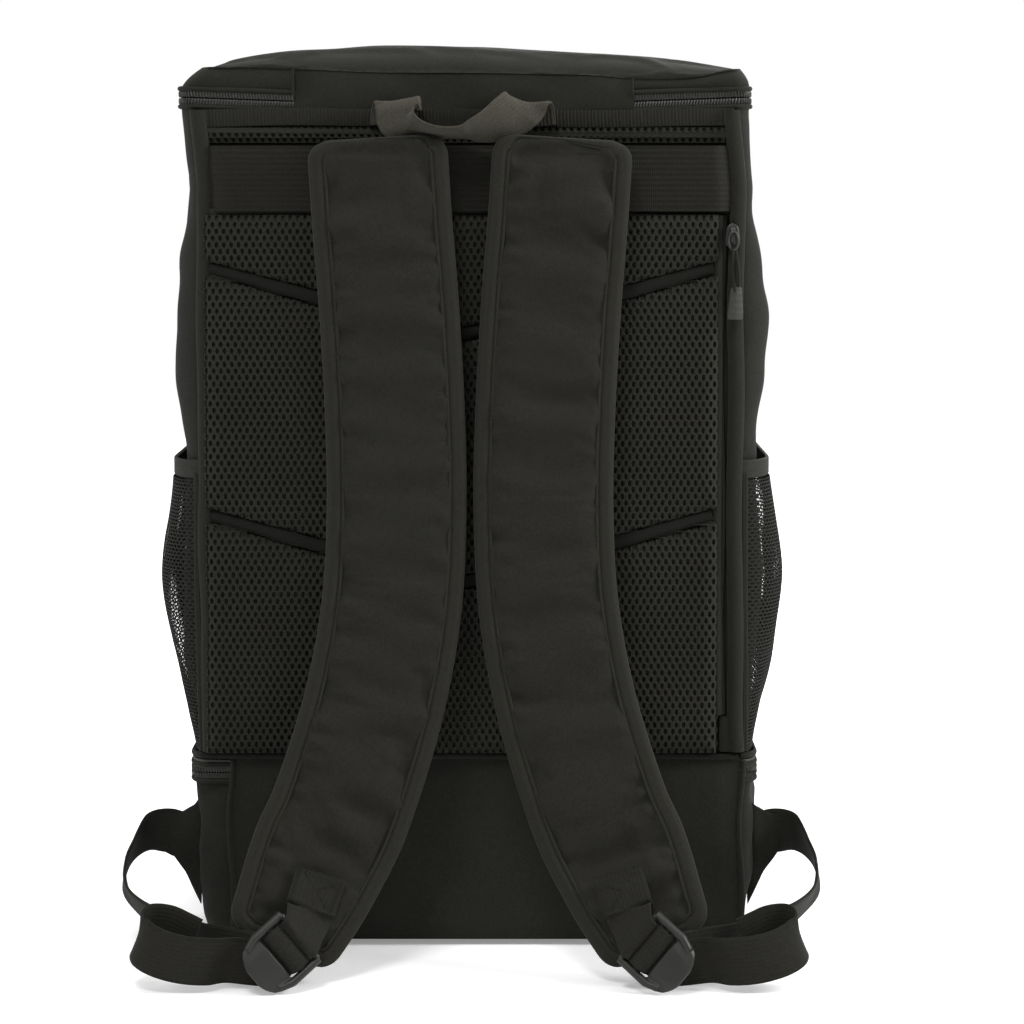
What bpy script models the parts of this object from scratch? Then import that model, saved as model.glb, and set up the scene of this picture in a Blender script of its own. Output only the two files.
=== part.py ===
"""Racket backpack, standing, in metres.

+Z is up, -Y is the wearer's side (pads and straps), +X is to the right when looking at the wearer's
side. The origin is the centre of the underside. Every sub-part is one named object. A piece that moves
hangs from an empty that stands on its joint's axis.
"""

import math

import bmesh
import bpy
import numpy as np
from mathutils import Matrix, Vector

MM = 0.001
GAP = 0.4 * MM

# Outer shape
BACK_Y = -90.5 * MM  # outer face of the back skin
FRONT_Y = 100.0 * MM  # outer face of the front panel
BACK_SEAM_X = 147.0 * MM  # where a side panel's corner starts on the back
FRONT_SEAM_X = 128.0 * MM
BACK_ROUND = 14.0 * MM  # depth of the rounded back corner
FRONT_ROUND = 30.0 * MM
WALL = 3.0 * MM  # padded fabric wall

# Heights
BASE_TOP = 105.0 * MM
FLOOR_TOP = 108.0 * MM
BODY_BOTTOM = 108.5 * MM
BODY_TOP = 461.5 * MM
LID_ZIP = 468.0 * MM  # the zip's centre line and the lid's hinge
LID_WALL_BOTTOM = 474.4 * MM
LID_WALL_TOP = 484.0 * MM
CROWN = 496.0 * MM
SHOE_ZIP = 97.0 * MM

# Half-width of the bag at a height: (height, half-width)
SIDE_PROFILE = [(0.108, 0.1515), (0.20, 0.152), (0.25, 0.1535), (0.274, 0.1555), (0.30, 0.161),
                (0.355, 0.163), (0.385, 0.1605), (0.400, 0.1545), (0.42, 0.155), (0.50, 0.1555)]
POCKET_PROFILE = [(0.109, 0.1545), (0.135, 0.1606), (0.1485, 0.1634), (0.168, 0.166),
                  (0.195, 0.168), (0.2145, 0.1678), (0.235, 0.1662), (0.271, 0.1637)]
BASE_PROFILE = [(0.0, 0.149), (0.03, 0.153), (0.085, 0.156), (0.108, 0.153)]

# Back
PAD_THICK = 11.0 * MM
PAD_LEFT, PAD_RIGHT = -145.0 * MM, 135.0 * MM
PAD_BOTTOM, PAD_TOP = 109.0 * MM, 405.0 * MM
GROOVES = [(376.0 * MM, 338.0 * MM), (241.0 * MM, 202.0 * MM)]  # height at the edges, at the middle
GROOVE_WIDTH = 6.0 * MM
BAND_BOTTOM, BAND_TOP = 406.0 * MM, 442.0 * MM
BAND_FACE = 101.5 * MM  # the trolley band's outer face stands this far from the centre
TAPE_BOTTOM, TAPE_TOP = 452.0 * MM, 461.8 * MM
BACK_ZIP_X = 142.0 * MM
BACK_ZIP_BOTTOM, BACK_ZIP_TOP = 129.5 * MM, 405.0 * MM

# Shoulder straps: the left one's middle line, outer face towards -Y
STRAP_PATH = [(-50.0, -113.0, 446.0), (-47.0, -115.0, 400.0), (-43.5, -117.0, 355.8),
              (-40.5, -119.5, 301.7), (-39.4, -123.0, 247.9), (-42.2, -128.0, 194.5),
              (-51.8, -135.0, 141.8), (-67.9, -145.0, 90.5), (-78.3, -152.0, 65.7),
              (-88.2, -161.0, 41.7), (-96.5, -171.0, 18.0)]
STRAP_WIDTH = 74.5 * MM
STRAP_THICK = 11.0 * MM
STRAP_PIVOT = Vector((0.0, -104.0 * MM, 446.0 * MM))
LOOP_WIDTH = 27.0 * MM
LOOP_PATH = [(-83.0, -165.3, 56.0), (-87.4, -171.2, 41.4), (-88.4, -175.6, 34.6)]
LOCK_TOP = Vector((-87.5, -179.9, 29.5)) * MM  # middle of the top bar's edge
LOCK_END = Vector((-112.0, -191.8, 9.2)) * MM  # tip of the thumb tab
LOCK_WIDTH = 33.0 * MM
LOCK_THICK = 5.0 * MM

PULL_EYE = 0.5  # a pull's axis lies this far under its top, in millimetres

# Webbing of the straps' adjusters and of the grab handle
WEBBING = 25.0 * MM
WEBBING_THICK = 1.6 * MM


def collection(name):
    made = bpy.data.collections.new(name)
    bpy.context.scene.collection.children.link(made)
    return made


def material(name, color, roughness, metallic=0.0):
    made = bpy.data.materials.new(name)
    made.use_nodes = True
    shader = made.node_tree.nodes["Principled BSDF"]
    shader.inputs["Base Color"].default_value = (*color, 1.0)
    shader.inputs["Roughness"].default_value = roughness
    shader.inputs["Metallic"].default_value = metallic
    return made


for leftover in list(bpy.data.objects):
    bpy.data.objects.remove(leftover, do_unlink=True)

PARTS = collection("racket_backpack")
CUTTERS = collection("cutters")
FABRIC = (0.022, 0.022, 0.018)
MESH = (0.016, 0.016, 0.013)
TAPE = (0.028, 0.028, 0.024)
PALE = (0.06, 0.058, 0.048)
PLASTIC = (0.03, 0.03, 0.028)


def add(name, mesh, color, roughness=0.85, parent=None, metallic=0.0):
    """Puts a mesh into the model under a name of its own, with a material of its own."""
    made = bpy.data.objects.new(name, mesh)
    mesh.name = name
    mesh.materials.clear()
    mesh.materials.append(material(name, color, roughness, metallic))
    PARTS.objects.link(made)
    if parent:
        made.parent = parent
        made.matrix_parent_inverse = parent.matrix_world.inverted()
    return made


def pivot(name, place, turn=None):
    """An empty on a joint's axis."""
    made = bpy.data.objects.new(name, None)
    made.empty_display_size = 0.01
    made.matrix_world = Matrix.Translation(place) @ (turn or Matrix.Identity(4))
    PARTS.objects.link(made)
    bpy.context.view_layer.update()
    return made


def box_mesh(low, high):
    grid = bmesh.new()
    size = [h - l for l, h in zip(low, high)]
    middle = [(h + l) / 2 for l, h in zip(low, high)]
    bmesh.ops.create_cube(grid, size=1.0, matrix=Matrix.LocRotScale(middle, None, size))
    mesh = bpy.data.meshes.new("box")
    grid.to_mesh(mesh)
    grid.free()
    return mesh


def box(name, low, high, color, parent=None, roughness=0.85, bevel=0.0):
    """A cuboid between two corners in millimetres."""
    made = add(name, box_mesh(Vector(low) * MM, Vector(high) * MM), color, roughness, parent)
    if bevel:
        edge = made.modifiers.new("Bevel", "BEVEL")
        edge.width = bevel * MM
        edge.segments = 2
    return made


def sheet(name, surface, along, up, thick, color, parent=None, roughness=0.85):
    """A grid bent to surface(u, v), thickened inwards from its outer face by Solidify."""
    grid = bmesh.new()
    bmesh.ops.create_grid(grid, x_segments=along, y_segments=up, size=0.5)
    for vertex in grid.verts:
        vertex.co = surface(vertex.co.x + 0.5, vertex.co.y + 0.5)
    mesh = bpy.data.meshes.new(name)
    grid.to_mesh(mesh)
    grid.free()
    made = add(name, mesh, color, roughness, parent)
    wall = made.modifiers.new("Solidify", "SOLIDIFY")
    wall.thickness = thick
    wall.offset = -1.0
    wall.use_even_offset = True
    return made


def flat(name, outline, low_y, high_y, color, parent=None, roughness=0.85):
    """An outline of (x, z) in millimetres, filled as a 2D curve and extruded along Y."""
    curve = bpy.data.curves.new(name, "CURVE")
    curve.dimensions = "2D"
    curve.fill_mode = "BOTH"
    curve.extrude = (high_y - low_y) * MM / 2
    line = curve.splines.new("POLY")
    line.points.add(len(outline) - 1)
    for point, (x, z) in zip(line.points, outline):
        point.co = (x * MM, z * MM, 0.0, 1.0)
    line.use_cyclic_u = True
    drawn = bpy.data.objects.new(name + "_outline", curve)
    PARTS.objects.link(drawn)
    bpy.context.view_layer.update()
    mesh = bpy.data.meshes.new_from_object(drawn.evaluated_get(bpy.context.evaluated_depsgraph_get()))
    bpy.data.objects.remove(drawn, do_unlink=True)
    bpy.data.curves.remove(curve)
    stand = Matrix.Translation((0, (low_y + high_y) * MM / 2, 0)) @ Matrix.Rotation(math.pi / 2, 4, "X")
    solid = bmesh.new()
    solid.from_mesh(mesh)
    bmesh.ops.remove_doubles(solid, verts=solid.verts, dist=1e-6)
    bmesh.ops.transform(solid, matrix=stand, verts=solid.verts)
    bmesh.ops.recalc_face_normals(solid, faces=solid.faces)
    solid.to_mesh(mesh)
    solid.free()
    return add(name, mesh, color, roughness, parent)


def at(profile, height):
    heights, widths = zip(*profile)
    return float(np.interp(height, heights, widths))


def plan(t, half_width, seam_x, seam_y, back_round, front_x, front_y, front_round):
    """A point of the right-hand wall in plan: t 0..1 from the back seam to the front seam.

    A quarter ellipse turns the back corner, a straight stretch follows, and another quarter ellipse
    turns the front corner.
    """
    turn = 0.3
    if t < turn:
        angle = t / turn * math.pi / 2
        return (seam_x + (half_width - seam_x) * math.sin(angle),
                seam_y + back_round * (1 - math.cos(angle)))
    if t > 1 - turn:
        angle = (t - 1 + turn) / turn * math.pi / 2
        return (front_x + (half_width - front_x) * math.cos(angle),
                front_y - front_round * (1 - math.sin(angle)))
    share = (t - turn) / (1 - 2 * turn)
    return (half_width, seam_y + back_round + share * (front_y - front_round - seam_y - back_round))


def side_wall(name, side, profile, bottom, top, rows, thick, color, seam=None, out=0.0, parent=None):
    """A side panel with its two rounded corners. side is -1 (left) or 1 (right)."""
    seam_x = seam or BACK_SEAM_X

    def surface(u, v):
        z = bottom + (top - bottom) * v
        t = u if side > 0 else 1 - u
        x, y = plan(t, at(profile, z) + out, seam_x, BACK_Y - out, BACK_ROUND, FRONT_SEAM_X,
                    FRONT_Y + out, FRONT_ROUND)
        return Vector((side * x, y, z))

    return sheet(name, surface, 10, rows, thick, color, parent)


def deck(name, half, inset, height, rows, columns, thick, color, parent=None):
    """A level sheet that fills the bag's plan, its four corners rounded, under height(x, y) of -1..1."""
    middle_y, half_depth = (FRONT_Y + BACK_Y) / 2, (FRONT_Y - BACK_Y) / 2 - inset
    half = half - inset

    def surface(u, v):
        across = math.sin((2 * u - 1) * math.pi / 2)
        along = math.sin((2 * v - 1) * math.pi / 2)
        round_x, round_y = ((half - FRONT_SEAM_X, FRONT_ROUND) if along > 0
                            else (half - BACK_SEAM_X + inset, BACK_ROUND))
        past = max(0.0, (abs(along) * half_depth - half_depth + round_y) / round_y)
        width = half - round_x * (1 - math.sqrt(max(0.0, 1 - past ** 2)))
        return Vector((across * width, middle_y + along * half_depth, height(across, along)))

    made = sheet(name, surface, columns, rows, thick, color, parent)
    made.modifiers["Solidify"].use_even_offset = False
    return made


def round_wall(name, bottom, top, out, thick, color, parent=None):
    """A wall that runs from one end of the lid zip round the left, the front and the right."""
    left_end, right_end = -93.0 * MM, 91.0 * MM
    half = at(SIDE_PROFILE, LID_ZIP) + out
    turned = [plan(t / 10, half, BACK_SEAM_X, BACK_Y - out, BACK_ROUND, FRONT_SEAM_X, FRONT_Y + out,
                   FRONT_ROUND) for t in range(11)]
    left = [(-x, y) for x, y in turned]
    right = list(reversed(turned))
    path = [(left_end, BACK_Y - out)] + left + right + [(right_end, BACK_Y - out)]
    count = len(path) - 1

    def surface(u, v):
        x, y = path[count - round(u * count)]
        return Vector((x, y, bottom + (top - bottom) * v))

    return sheet(name, surface, count, 1, thick, color, parent)


def ribbon(name, stations, thick, color, parent=None, roughness=0.85):
    """A strip through stations of (middle point, half-width vector)."""
    count = len(stations) - 1

    def surface(u, v):
        middle, half = stations[round(v * count)]
        return middle + half * (2 * u - 1)

    made = sheet(name, surface, 1, count, thick, color, parent, roughness)
    made.modifiers["Solidify"].offset = 0.0
    return made


def mirrored(points, side):
    """Points given for the left side in millimetres, in metres on either side."""
    return [Vector((-side * x, y, z)) * MM for x, y, z in points]


def frames(points, half_width):
    """Stations of a strip that faces -Y: the width lies across the path, in the plane of X and Z."""
    made = []
    for i, middle in enumerate(points):
        ahead = points[min(i + 1, len(points) - 1)] - points[max(i - 1, 0)]
        across = ahead.cross(Vector((0.0, -1.0, 0.0))).normalized()
        made.append((middle, across * half_width(i)))
    return made


def pads():
    """Three pads, parted by two grooves that run down to a point in the middle."""
    middle = (PAD_LEFT + PAD_RIGHT) / 2 / MM
    left, right = PAD_LEFT / MM, PAD_RIGHT / MM
    half = GROOVE_WIDTH / MM / 2
    levels = [(PAD_TOP / MM + half, PAD_TOP / MM + half)]
    levels += [(edge / MM, tip / MM) for edge, tip in GROOVES]
    levels += [(PAD_BOTTOM / MM - half, PAD_BOTTOM / MM - half)]
    low_y = (BACK_Y - GAP) / MM - PAD_THICK / MM
    high_y = (BACK_Y - GAP) / MM
    for name, upper, lower in zip(("upper", "middle", "lower"), levels, levels[1:]):
        outline = [(left, upper[0] - half), (middle, upper[1] - half), (right, upper[0] - half),
                   (right, lower[0] + half), (middle, lower[1] + half), (left, lower[0] + half)]
        if upper[0] == upper[1]:
            outline.pop(1)
        if lower[0] == lower[1]:
            outline.pop(-2)
        flat("back_pad_" + name, outline, low_y, high_y, MESH)


def back():
    """The back skin and everything sewn on it, from the seam tape down to the zip's end patch."""
    face = (BACK_Y - GAP) / MM
    skin = [(-145.4, 109.0), (145.4, 109.0), (145.4, 461.4), (90.4, 461.4), (90.4, 467.6),
            (-92.4, 467.6), (-92.4, 461.4), (-145.4, 461.4)]
    flat("back_panel", skin, BACK_Y / MM, BACK_Y / MM + 1.5, FABRIC)
    box("seam_tape", (-146.0, face - 2.6, TAPE_BOTTOM / MM), (146.0, face, TAPE_TOP / MM), TAPE)
    box("top_mesh_strip", (-145.0, face - 2.5, 443.4), (145.0, face, 451.6), MESH)
    pads()
    steps = [(-145.5, 2.0 - face), (-144.0, 96.5), (-136.0, BAND_FACE / MM),
             (136.0, BAND_FACE / MM), (144.0, 96.5), (145.5, 2.0 - face)]

    def band(u, v):
        x, depth = steps[round(u * (len(steps) - 1))]
        return Vector((x * MM, -depth * MM, BAND_BOTTOM + (BAND_TOP - BAND_BOTTOM) * v))

    sheet("luggage_band", band, len(steps) - 1, 1, 1.8 * MM, TAPE)
    tape = [(-4.6, 0.0), (4.6, 0.0), (4.6, -1.6), (2.8, -1.8), (2.2, -4.2), (-2.2, -4.2),
            (-2.8, -1.8), (-4.6, -1.6)]
    count = len(tape)
    solid = bmesh.new()
    rings = [[solid.verts.new((BACK_ZIP_X + x * MM, (face + y) * MM, z)) for x, y in tape]
             for z in (BACK_ZIP_BOTTOM, BACK_ZIP_TOP)]
    for i in range(count):
        solid.faces.new((rings[0][i], rings[0][(i + 1) % count], rings[1][(i + 1) % count], rings[1][i]))
    solid.faces.new(rings[0])
    solid.faces.new(reversed(rings[1]))
    bmesh.ops.recalc_face_normals(solid, faces=solid.faces)
    mesh = bpy.data.meshes.new("back_zip")
    solid.to_mesh(mesh)
    solid.free()
    add("back_zip", mesh, TAPE)
    box("back_zip_garage", (135.4, face - 4.5, 109.0), (146.0, face, 129.0), FABRIC)


def inside():
    """The stiff sheet, the flat pocket's lining, the racket divider and the floor."""
    box("back_pocket_lining", (-140.0, -82.0, 112.0), (140.0, -81.0, 440.0), FABRIC)
    box("frame_sheet", (-136.0, -80.6, 112.0), (136.0, -78.6, 440.0), PLASTIC)
    box("racket_divider", (-138.0, -34.0, 108.4), (138.0, -29.0, 395.0), FABRIC)
    deck("main_floor", at(BASE_PROFILE, FLOOR_TOP), 4.0 * MM, lambda x, y: FLOOR_TOP, 12, 4, 2.6 * MM, FABRIC)


def side(name, sign):
    """One side panel, its net pocket and the pocket's elastic binding."""
    side_wall(name + "_side_panel", sign, SIDE_PROFILE, BODY_BOTTOM, BODY_TOP, 12, WALL, FABRIC)

    def pocket_surface(bottom, top):
        def surface(u, v):
            z = bottom + (top - bottom) * v
            t = u if sign > 0 else 1 - u
            end = at(SIDE_PROFILE, z) + 2.4 * MM
            x, y = plan(t, at(POCKET_PROFILE, z), 148.6 * MM, BACK_Y - 2.6 * MM, 22.0 * MM, end,
                        68.0 * MM, 28.0 * MM)
            return Vector((sign * x, y, z))
        return surface

    sheet(name + "_mesh_pocket", pocket_surface(109.0 * MM, 260.0 * MM), 10, 7, 1.2 * MM, MESH)
    sheet(name + "_pocket_elastic", pocket_surface(260.4 * MM, 270.6 * MM), 10, 1, 2.0 * MM, TAPE)


def base():
    """The shoe compartment: back, two sides with their corners, bottom, zip, and the front door."""
    seams = {-1: 134.0 * MM, 1: 147.0 * MM}
    box("base_back", (-133.5, BACK_Y / MM - 3.0, 3.4), (146.5, BACK_Y / MM - 0.5, BASE_TOP / MM - 0.2),
        FABRIC)
    for name, sign in (("base_left", -1), ("base_right", 1)):
        side_wall(name, sign, BASE_PROFILE, 3.4 * MM, SHOE_ZIP - 3.4 * MM, 4, 2.5 * MM, FABRIC,
                  seam=seams[sign])
    deck("base_bottom", at(BASE_PROFILE, 0.0), 1.5 * MM, lambda x, y: 3.0 * MM, 12, 4, 3.0 * MM, FABRIC)
    left_end, right_end = -134.0 * MM, 147.0 * MM
    half = at(BASE_PROFILE, SHOE_ZIP)
    left = [plan(t / 10, half, BACK_SEAM_X, BACK_Y, BACK_ROUND, FRONT_SEAM_X, FRONT_Y, FRONT_ROUND)
            for t in range(11)]
    path = [(left_end, BACK_Y)] + [(-x, y) for x, y in left] + list(reversed(left))[:-1]
    path += [(right_end, BACK_Y)]
    count = len(path) - 1

    def zip_surface(u, v):
        x, y = path[count - round(u * count)]
        return Vector((x, y, SHOE_ZIP - 3.0 * MM + 11.0 * MM * v))

    sheet("shoe_zip", zip_surface, count, 1, 2.5 * MM, TAPE)
    hinge = pivot("shoe_door_pivot", Vector((0, 100.5, 4.0)) * MM)
    box("shoe_door", (-126.4, 97.5, 4.0), (126.4, 100.0, SHOE_ZIP / MM - 3.4), FABRIC, hinge)


def lid():
    """The lid: domed top, wall, upper half of the zip and the fabric hinge at the back."""
    hinge = pivot("lid_pivot", Vector((0, BACK_Y - 1.5 * MM, LID_ZIP)))
    round_wall("lid_zip_upper", LID_ZIP + 0.3 * MM, LID_WALL_BOTTOM - GAP, 0.8 * MM, 2.5 * MM, TAPE, hinge)
    round_wall("lid_gusset", LID_WALL_BOTTOM, LID_WALL_TOP, 0.0, WALL, FABRIC, hinge)
    box("lid_hinge_panel", (-92.4, BACK_Y / MM - 1.5, LID_ZIP / MM + 0.3),
        (90.4, BACK_Y / MM + 1.5, LID_WALL_TOP / MM), FABRIC, hinge)

    rim = LID_WALL_TOP + GAP + 3.0 * MM
    deck("lid_top", at(SIDE_PROFILE, LID_WALL_TOP), 0.0,
         lambda x, y: rim + (1 - x ** 4) * (1 - y ** 4) * (CROWN - rim), 14, 12, 3.0 * MM, FABRIC, hinge)
    round_wall("lid_zip_lower", BODY_TOP + 0.4 * MM, LID_ZIP - 0.3 * MM, 0.8 * MM, 2.5 * MM, TAPE)


def slider(name, middle, size, pull_low, pull_high):
    """A zip slider at a point, and its pull hanging from it, with an empty on the pull's axis."""
    low = [m - s / 2 for m, s in zip(middle, size)]
    high = [m + s / 2 for m, s in zip(middle, size)]
    box(name + "_slider", low, high, PLASTIC, None, 0.4, 0.6)
    axis = Vector(((pull_low[0] + pull_high[0]) / 2, (pull_low[1] + pull_high[1]) / 2,
                   pull_high[2] - PULL_EYE))
    hinge = pivot(name + "_pull_pivot", axis * MM)
    box(name + "_pull", pull_low, pull_high, PLASTIC, hinge, 0.5, 0.5)


def sliders():
    """The sliders of the four zips. Pulls are stored hanging."""
    for name, sign in (("left", -1), ("right", 1)):
        x = sign * 9.0
        slider(name + "_lid", (x, 104.3, 468.0), (12.0, 5.0, 9.0),
               (x - 2.5, 107.3, 443.0), (x + 2.5, 109.1, 469.0))
        slider(name + "_shoe", (x, 103.6, 97.0), (10.0, 5.0, 8.0),
               (x - 2.5, 106.6, 74.0), (x + 2.5, 108.4, 98.0))
    face = (BACK_Y - GAP) / MM
    slider("back", (BACK_ZIP_X / MM, face - 6.8, 393.0), (8.0, 4.6, 14.0),
           (137.6, face - 12.2, 347.5), (147.0, face - 9.4, 396.0))
    slider("front_pocket", (-88.0, 127.3, 322.0), (10.0, 4.0, 8.0),
           (-90.5, 129.8, 299.0), (-85.5, 131.6, 323.0))


def front():
    """The front panel and its pocket, a pan sewn on by its rim, with a zip across it."""
    box("front_panel", (-126.4, FRONT_Y / MM - 3.0, 109.0), (126.4, FRONT_Y / MM, 461.3), FABRIC)
    pan = add("front_pocket", box_mesh(Vector((-115, 100.4, 125)) * MM, Vector((115, 122, 345)) * MM),
              FABRIC)
    edge = pan.modifiers.new("Bevel", "BEVEL")
    edge.width = 9 * MM
    edge.segments = 2
    hollow = bpy.data.objects.new("front_pocket_hollow",
                                  box_mesh(Vector((-112.5, 95, 127.5)) * MM, Vector((112.5, 119.8, 342.5)) * MM))
    CUTTERS.objects.link(hollow)
    hollow.hide_render = True
    hollow.display_type = "WIRE"
    inner = hollow.modifiers.new("Bevel", "BEVEL")
    inner.width = 7 * MM
    inner.segments = 2
    cut = pan.modifiers.new("Boolean", "BOOLEAN")
    cut.operation = "DIFFERENCE"
    cut.object = hollow
    box("front_pocket_zip", (-100.0, 122.4, 315.0), (100.0, 124.8, 329.0), TAPE)


def strap(name, sign):
    """A shoulder strap: pad, sewn webbing loop, ladder lock and the free tail of the webbing."""
    hinge = pivot(name + "_strap_pivot", STRAP_PIVOT)
    path = mirrored(STRAP_PATH, sign)
    fine = smooth(path, 16)
    lengths = [0.0]
    for a, b in zip(fine, fine[1:]):
        lengths.append(lengths[-1] + (b - a).length)
    reach = 30.0 * MM

    def half_width(i):
        near = min(lengths[i], lengths[-1] - lengths[i])
        shrink = 0.0 if near > reach else 1 - math.sqrt(1 - ((reach - near) / reach) ** 2)
        return STRAP_WIDTH / 2 * (1 - 0.55 * shrink)

    ribbon(name + "_strap_pad", frames(fine, half_width), STRAP_THICK, FABRIC, hinge)
    loop = mirrored(LOOP_PATH, sign)
    ribbon(name + "_strap_loop", frames(loop, lambda i: LOOP_WIDTH / 2), 1.8 * MM, TAPE, hinge)
    ladder_lock(name, sign, hinge)
    webbing(name, sign, hinge)


def smooth(points, count):
    """Evenly spaced points on a Catmull-Rom curve through the given ones."""
    ends = [2 * points[0] - points[1]] + list(points) + [2 * points[-1] - points[-2]]
    dense = []
    for i in range(1, len(ends) - 2):
        a, b, c, d = ends[i - 1:i + 3]
        for k in range(12):
            t = k / 12
            dense.append(0.5 * (2 * b + (c - a) * t + (2 * a - 5 * b + 4 * c - d) * t ** 2
                                + (3 * b - a - 3 * c + d) * t ** 3))
    dense.append(Vector(points[-1]))
    run = np.concatenate([[0.0], np.cumsum([(q - p).length for p, q in zip(dense, dense[1:])])])
    spots = np.linspace(0, run[-1], count)
    grid = np.array([tuple(p) for p in dense])
    return [Vector([float(np.interp(s, run, grid[:, k])) for k in range(3)]) for s in spots]


def plate_mesh(outline, thick):
    """A plate of that (x, z) outline, in metres, that spans thick about y 0."""
    solid = bmesh.new()
    rings = [[solid.verts.new((x, y, z)) for x, z in outline] for y in (-thick / 2, thick / 2)]
    for i in range(len(outline)):
        k = (i + 1) % len(outline)
        solid.faces.new((rings[0][i], rings[0][k], rings[1][k], rings[1][i]))
    solid.faces.new(rings[0])
    solid.faces.new(reversed(rings[1]))
    bmesh.ops.recalc_face_normals(solid, faces=solid.faces)
    mesh = bpy.data.meshes.new("plate")
    solid.to_mesh(mesh)
    solid.free()
    return mesh


def ladder_lock(name, sign, strap_hinge):
    """A plate with two slots and a rounded thumb tab. Its top bar lies in the sewn loop."""
    top = Vector((-sign * LOCK_TOP.x, LOCK_TOP.y, LOCK_TOP.z))
    end = Vector((-sign * LOCK_END.x, LOCK_END.y, LOCK_END.z))
    down = (end - top).normalized()
    across = down.cross(Vector((0.0, -1.0, 0.0))).normalized()
    out = down.cross(across).normalized()
    turn = Matrix((across, out, down)).transposed().to_4x4()
    length = (end - top).length
    hinge = pivot(name + "_lock_pivot", top, turn)
    hinge.parent = strap_hinge
    hinge.matrix_parent_inverse = strap_hinge.matrix_world.inverted()
    half = LOCK_WIDTH / 2
    outline = [(-half, 0.0), (half, 0.0), (half, 0.65 * length), (0.87 * half, 0.83 * length),
               (0.55 * half, 0.95 * length), (0.0, length), (-0.55 * half, 0.95 * length),
               (-0.87 * half, 0.83 * length), (-half, 0.65 * length)]
    plate = plate_mesh(outline, LOCK_THICK)
    plate.transform(Matrix.Translation(top) @ turn)
    lock = add(name + "_ladder_lock", plate, PLASTIC, 0.35, hinge)
    edge = lock.modifiers.new("Bevel", "BEVEL")
    edge.width = 1.2 * MM
    edge.segments = 2
    for number, low in enumerate((6.0, 18.0)):
        slot = box_mesh(Vector((-13.5, -8, low)) * MM, Vector((13.5, 8, low + 6.0)) * MM)
        slot.transform(Matrix.Translation(top) @ turn)
        tool = bpy.data.objects.new(f"{name}_slot_{number}", slot)
        CUTTERS.objects.link(tool)
        tool.hide_render = True
        tool.display_type = "WIRE"
        cut = lock.modifiers.new("Boolean", "BOOLEAN")
        cut.operation = "DIFFERENCE"
        cut.object = tool


def standing(points, sign):
    """Stations of webbing that stands on edge: (x, y, z, lean) with lean its width's tilt along X."""
    return [(Vector((-sign * x, y, z)) * MM, Vector((-sign * lean, 0.0, 1.0)).normalized() * WEBBING / 2)
            for x, y, z, lean in points]


def webbing(name, sign, hinge):
    """A fabric wing at the lower corner, the adjuster webbing from it, and the end past the lock."""
    wing = [(-156.6, 80.0), (-155.0, 24.0), (-168.0, 54.0), (-165.5, 70.0)]
    if sign > 0:
        wing = [(-x, z) for x, z in reversed(wing)]
    flat(name + "_wing", wing, -78.0, -75.0, FABRIC)
    run = [(-169.0, -76.5, 60.0, 0.0), (-180.0, -79.0, 58.5, 0.1), (-188.0, -88.0, 52.0, 0.2),
           (-190.0, -101.0, 43.0, 0.3), (-185.0, -117.0, 34.0, 0.25), (-176.0, -130.0, 28.0, 0.2)]
    ribbon(name + "_webbing", standing(run, sign), WEBBING_THICK, TAPE)
    end = [(-172.0, -134.5, 26.0, 0.2), (-158.0, -148.0, 20.5, 0.1), (-141.0, -164.0, 16.0, 0.0),
           (-129.0, -176.0, 14.0, 0.0), (-124.0, -184.0, 13.4, 0.0), (-129.0, -190.0, 13.2, 0.0),
           (-142.0, -191.0, 13.2, 0.0), (-160.0, -187.0, 13.4, 0.0), (-173.0, -180.0, 13.4, 0.0),
           (-176.0, -173.0, 13.4, 0.0), (-170.0, -168.0, 13.4, 0.0), (-156.0, -167.0, 13.4, 0.0)]
    ribbon(name + "_webbing_end", standing(end, sign), WEBBING_THICK, TAPE, hinge)


def handle():
    """The grab handle: flat at its two anchors, turned edge-on where it sags in the middle."""
    half = WEBBING / 2
    hinge = pivot("grab_handle_pivot", Vector((0, -95.0, 455.0)) * MM)
    left = [((-42.0, -94.8, 454.0), (1.0, 0.0, 0.0)), ((-42.0, -97.0, 460.0), (1.0, -0.05, 0.0)),
            ((-41.0, -102.0, 464.6), (0.95, -0.30, 0.0)), ((-37.0, -108.5, 464.4), (0.70, -0.71, 0.0)),
            ((-28.0, -114.0, 459.6), (0.3, -0.95, 0.0)), ((-16.0, -116.5, 454.8), (0.08, -1.0, 0.0))]
    stations = [(Vector(place) * MM, Vector(across).normalized() * half) for place, across in left]
    stations.append((Vector((-3.5, -117.0, 452.0)) * MM, Vector((0.0, -half, 0.0))))
    for (x, y, z), (a, b, c) in reversed(left):
        stations.append((Vector((-7.0 - x, y, z)) * MM, Vector((-a, b, c)).normalized() * half))
    ribbon("grab_handle", stations, WEBBING_THICK, PALE, hinge)


def main():
    back()
    inside()
    side("left", -1)
    side("right", 1)
    base()
    lid()
    front()
    sliders()
    handle()
    strap("left", -1)
    strap("right", 1)


main()
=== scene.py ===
# %% [markdown]
# # A racket backpack, seen from the wearer's side
# The real bag is sewn from charcoal polyester: padded straps, spacer-mesh back pads, net pockets, a domed
# lid closed by a coil zip, and a shoe compartment below. This notebook rebuilds it piece by piece round a
# fixed CAD frame, so each piece below rides on the body it moves with and hides the CAD node it stands for.
# The frame could be measured by hand, but reading it keeps every piece where the engineering model has it.

import math

import bpy
import numpy as np
from mathutils import Matrix


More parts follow.
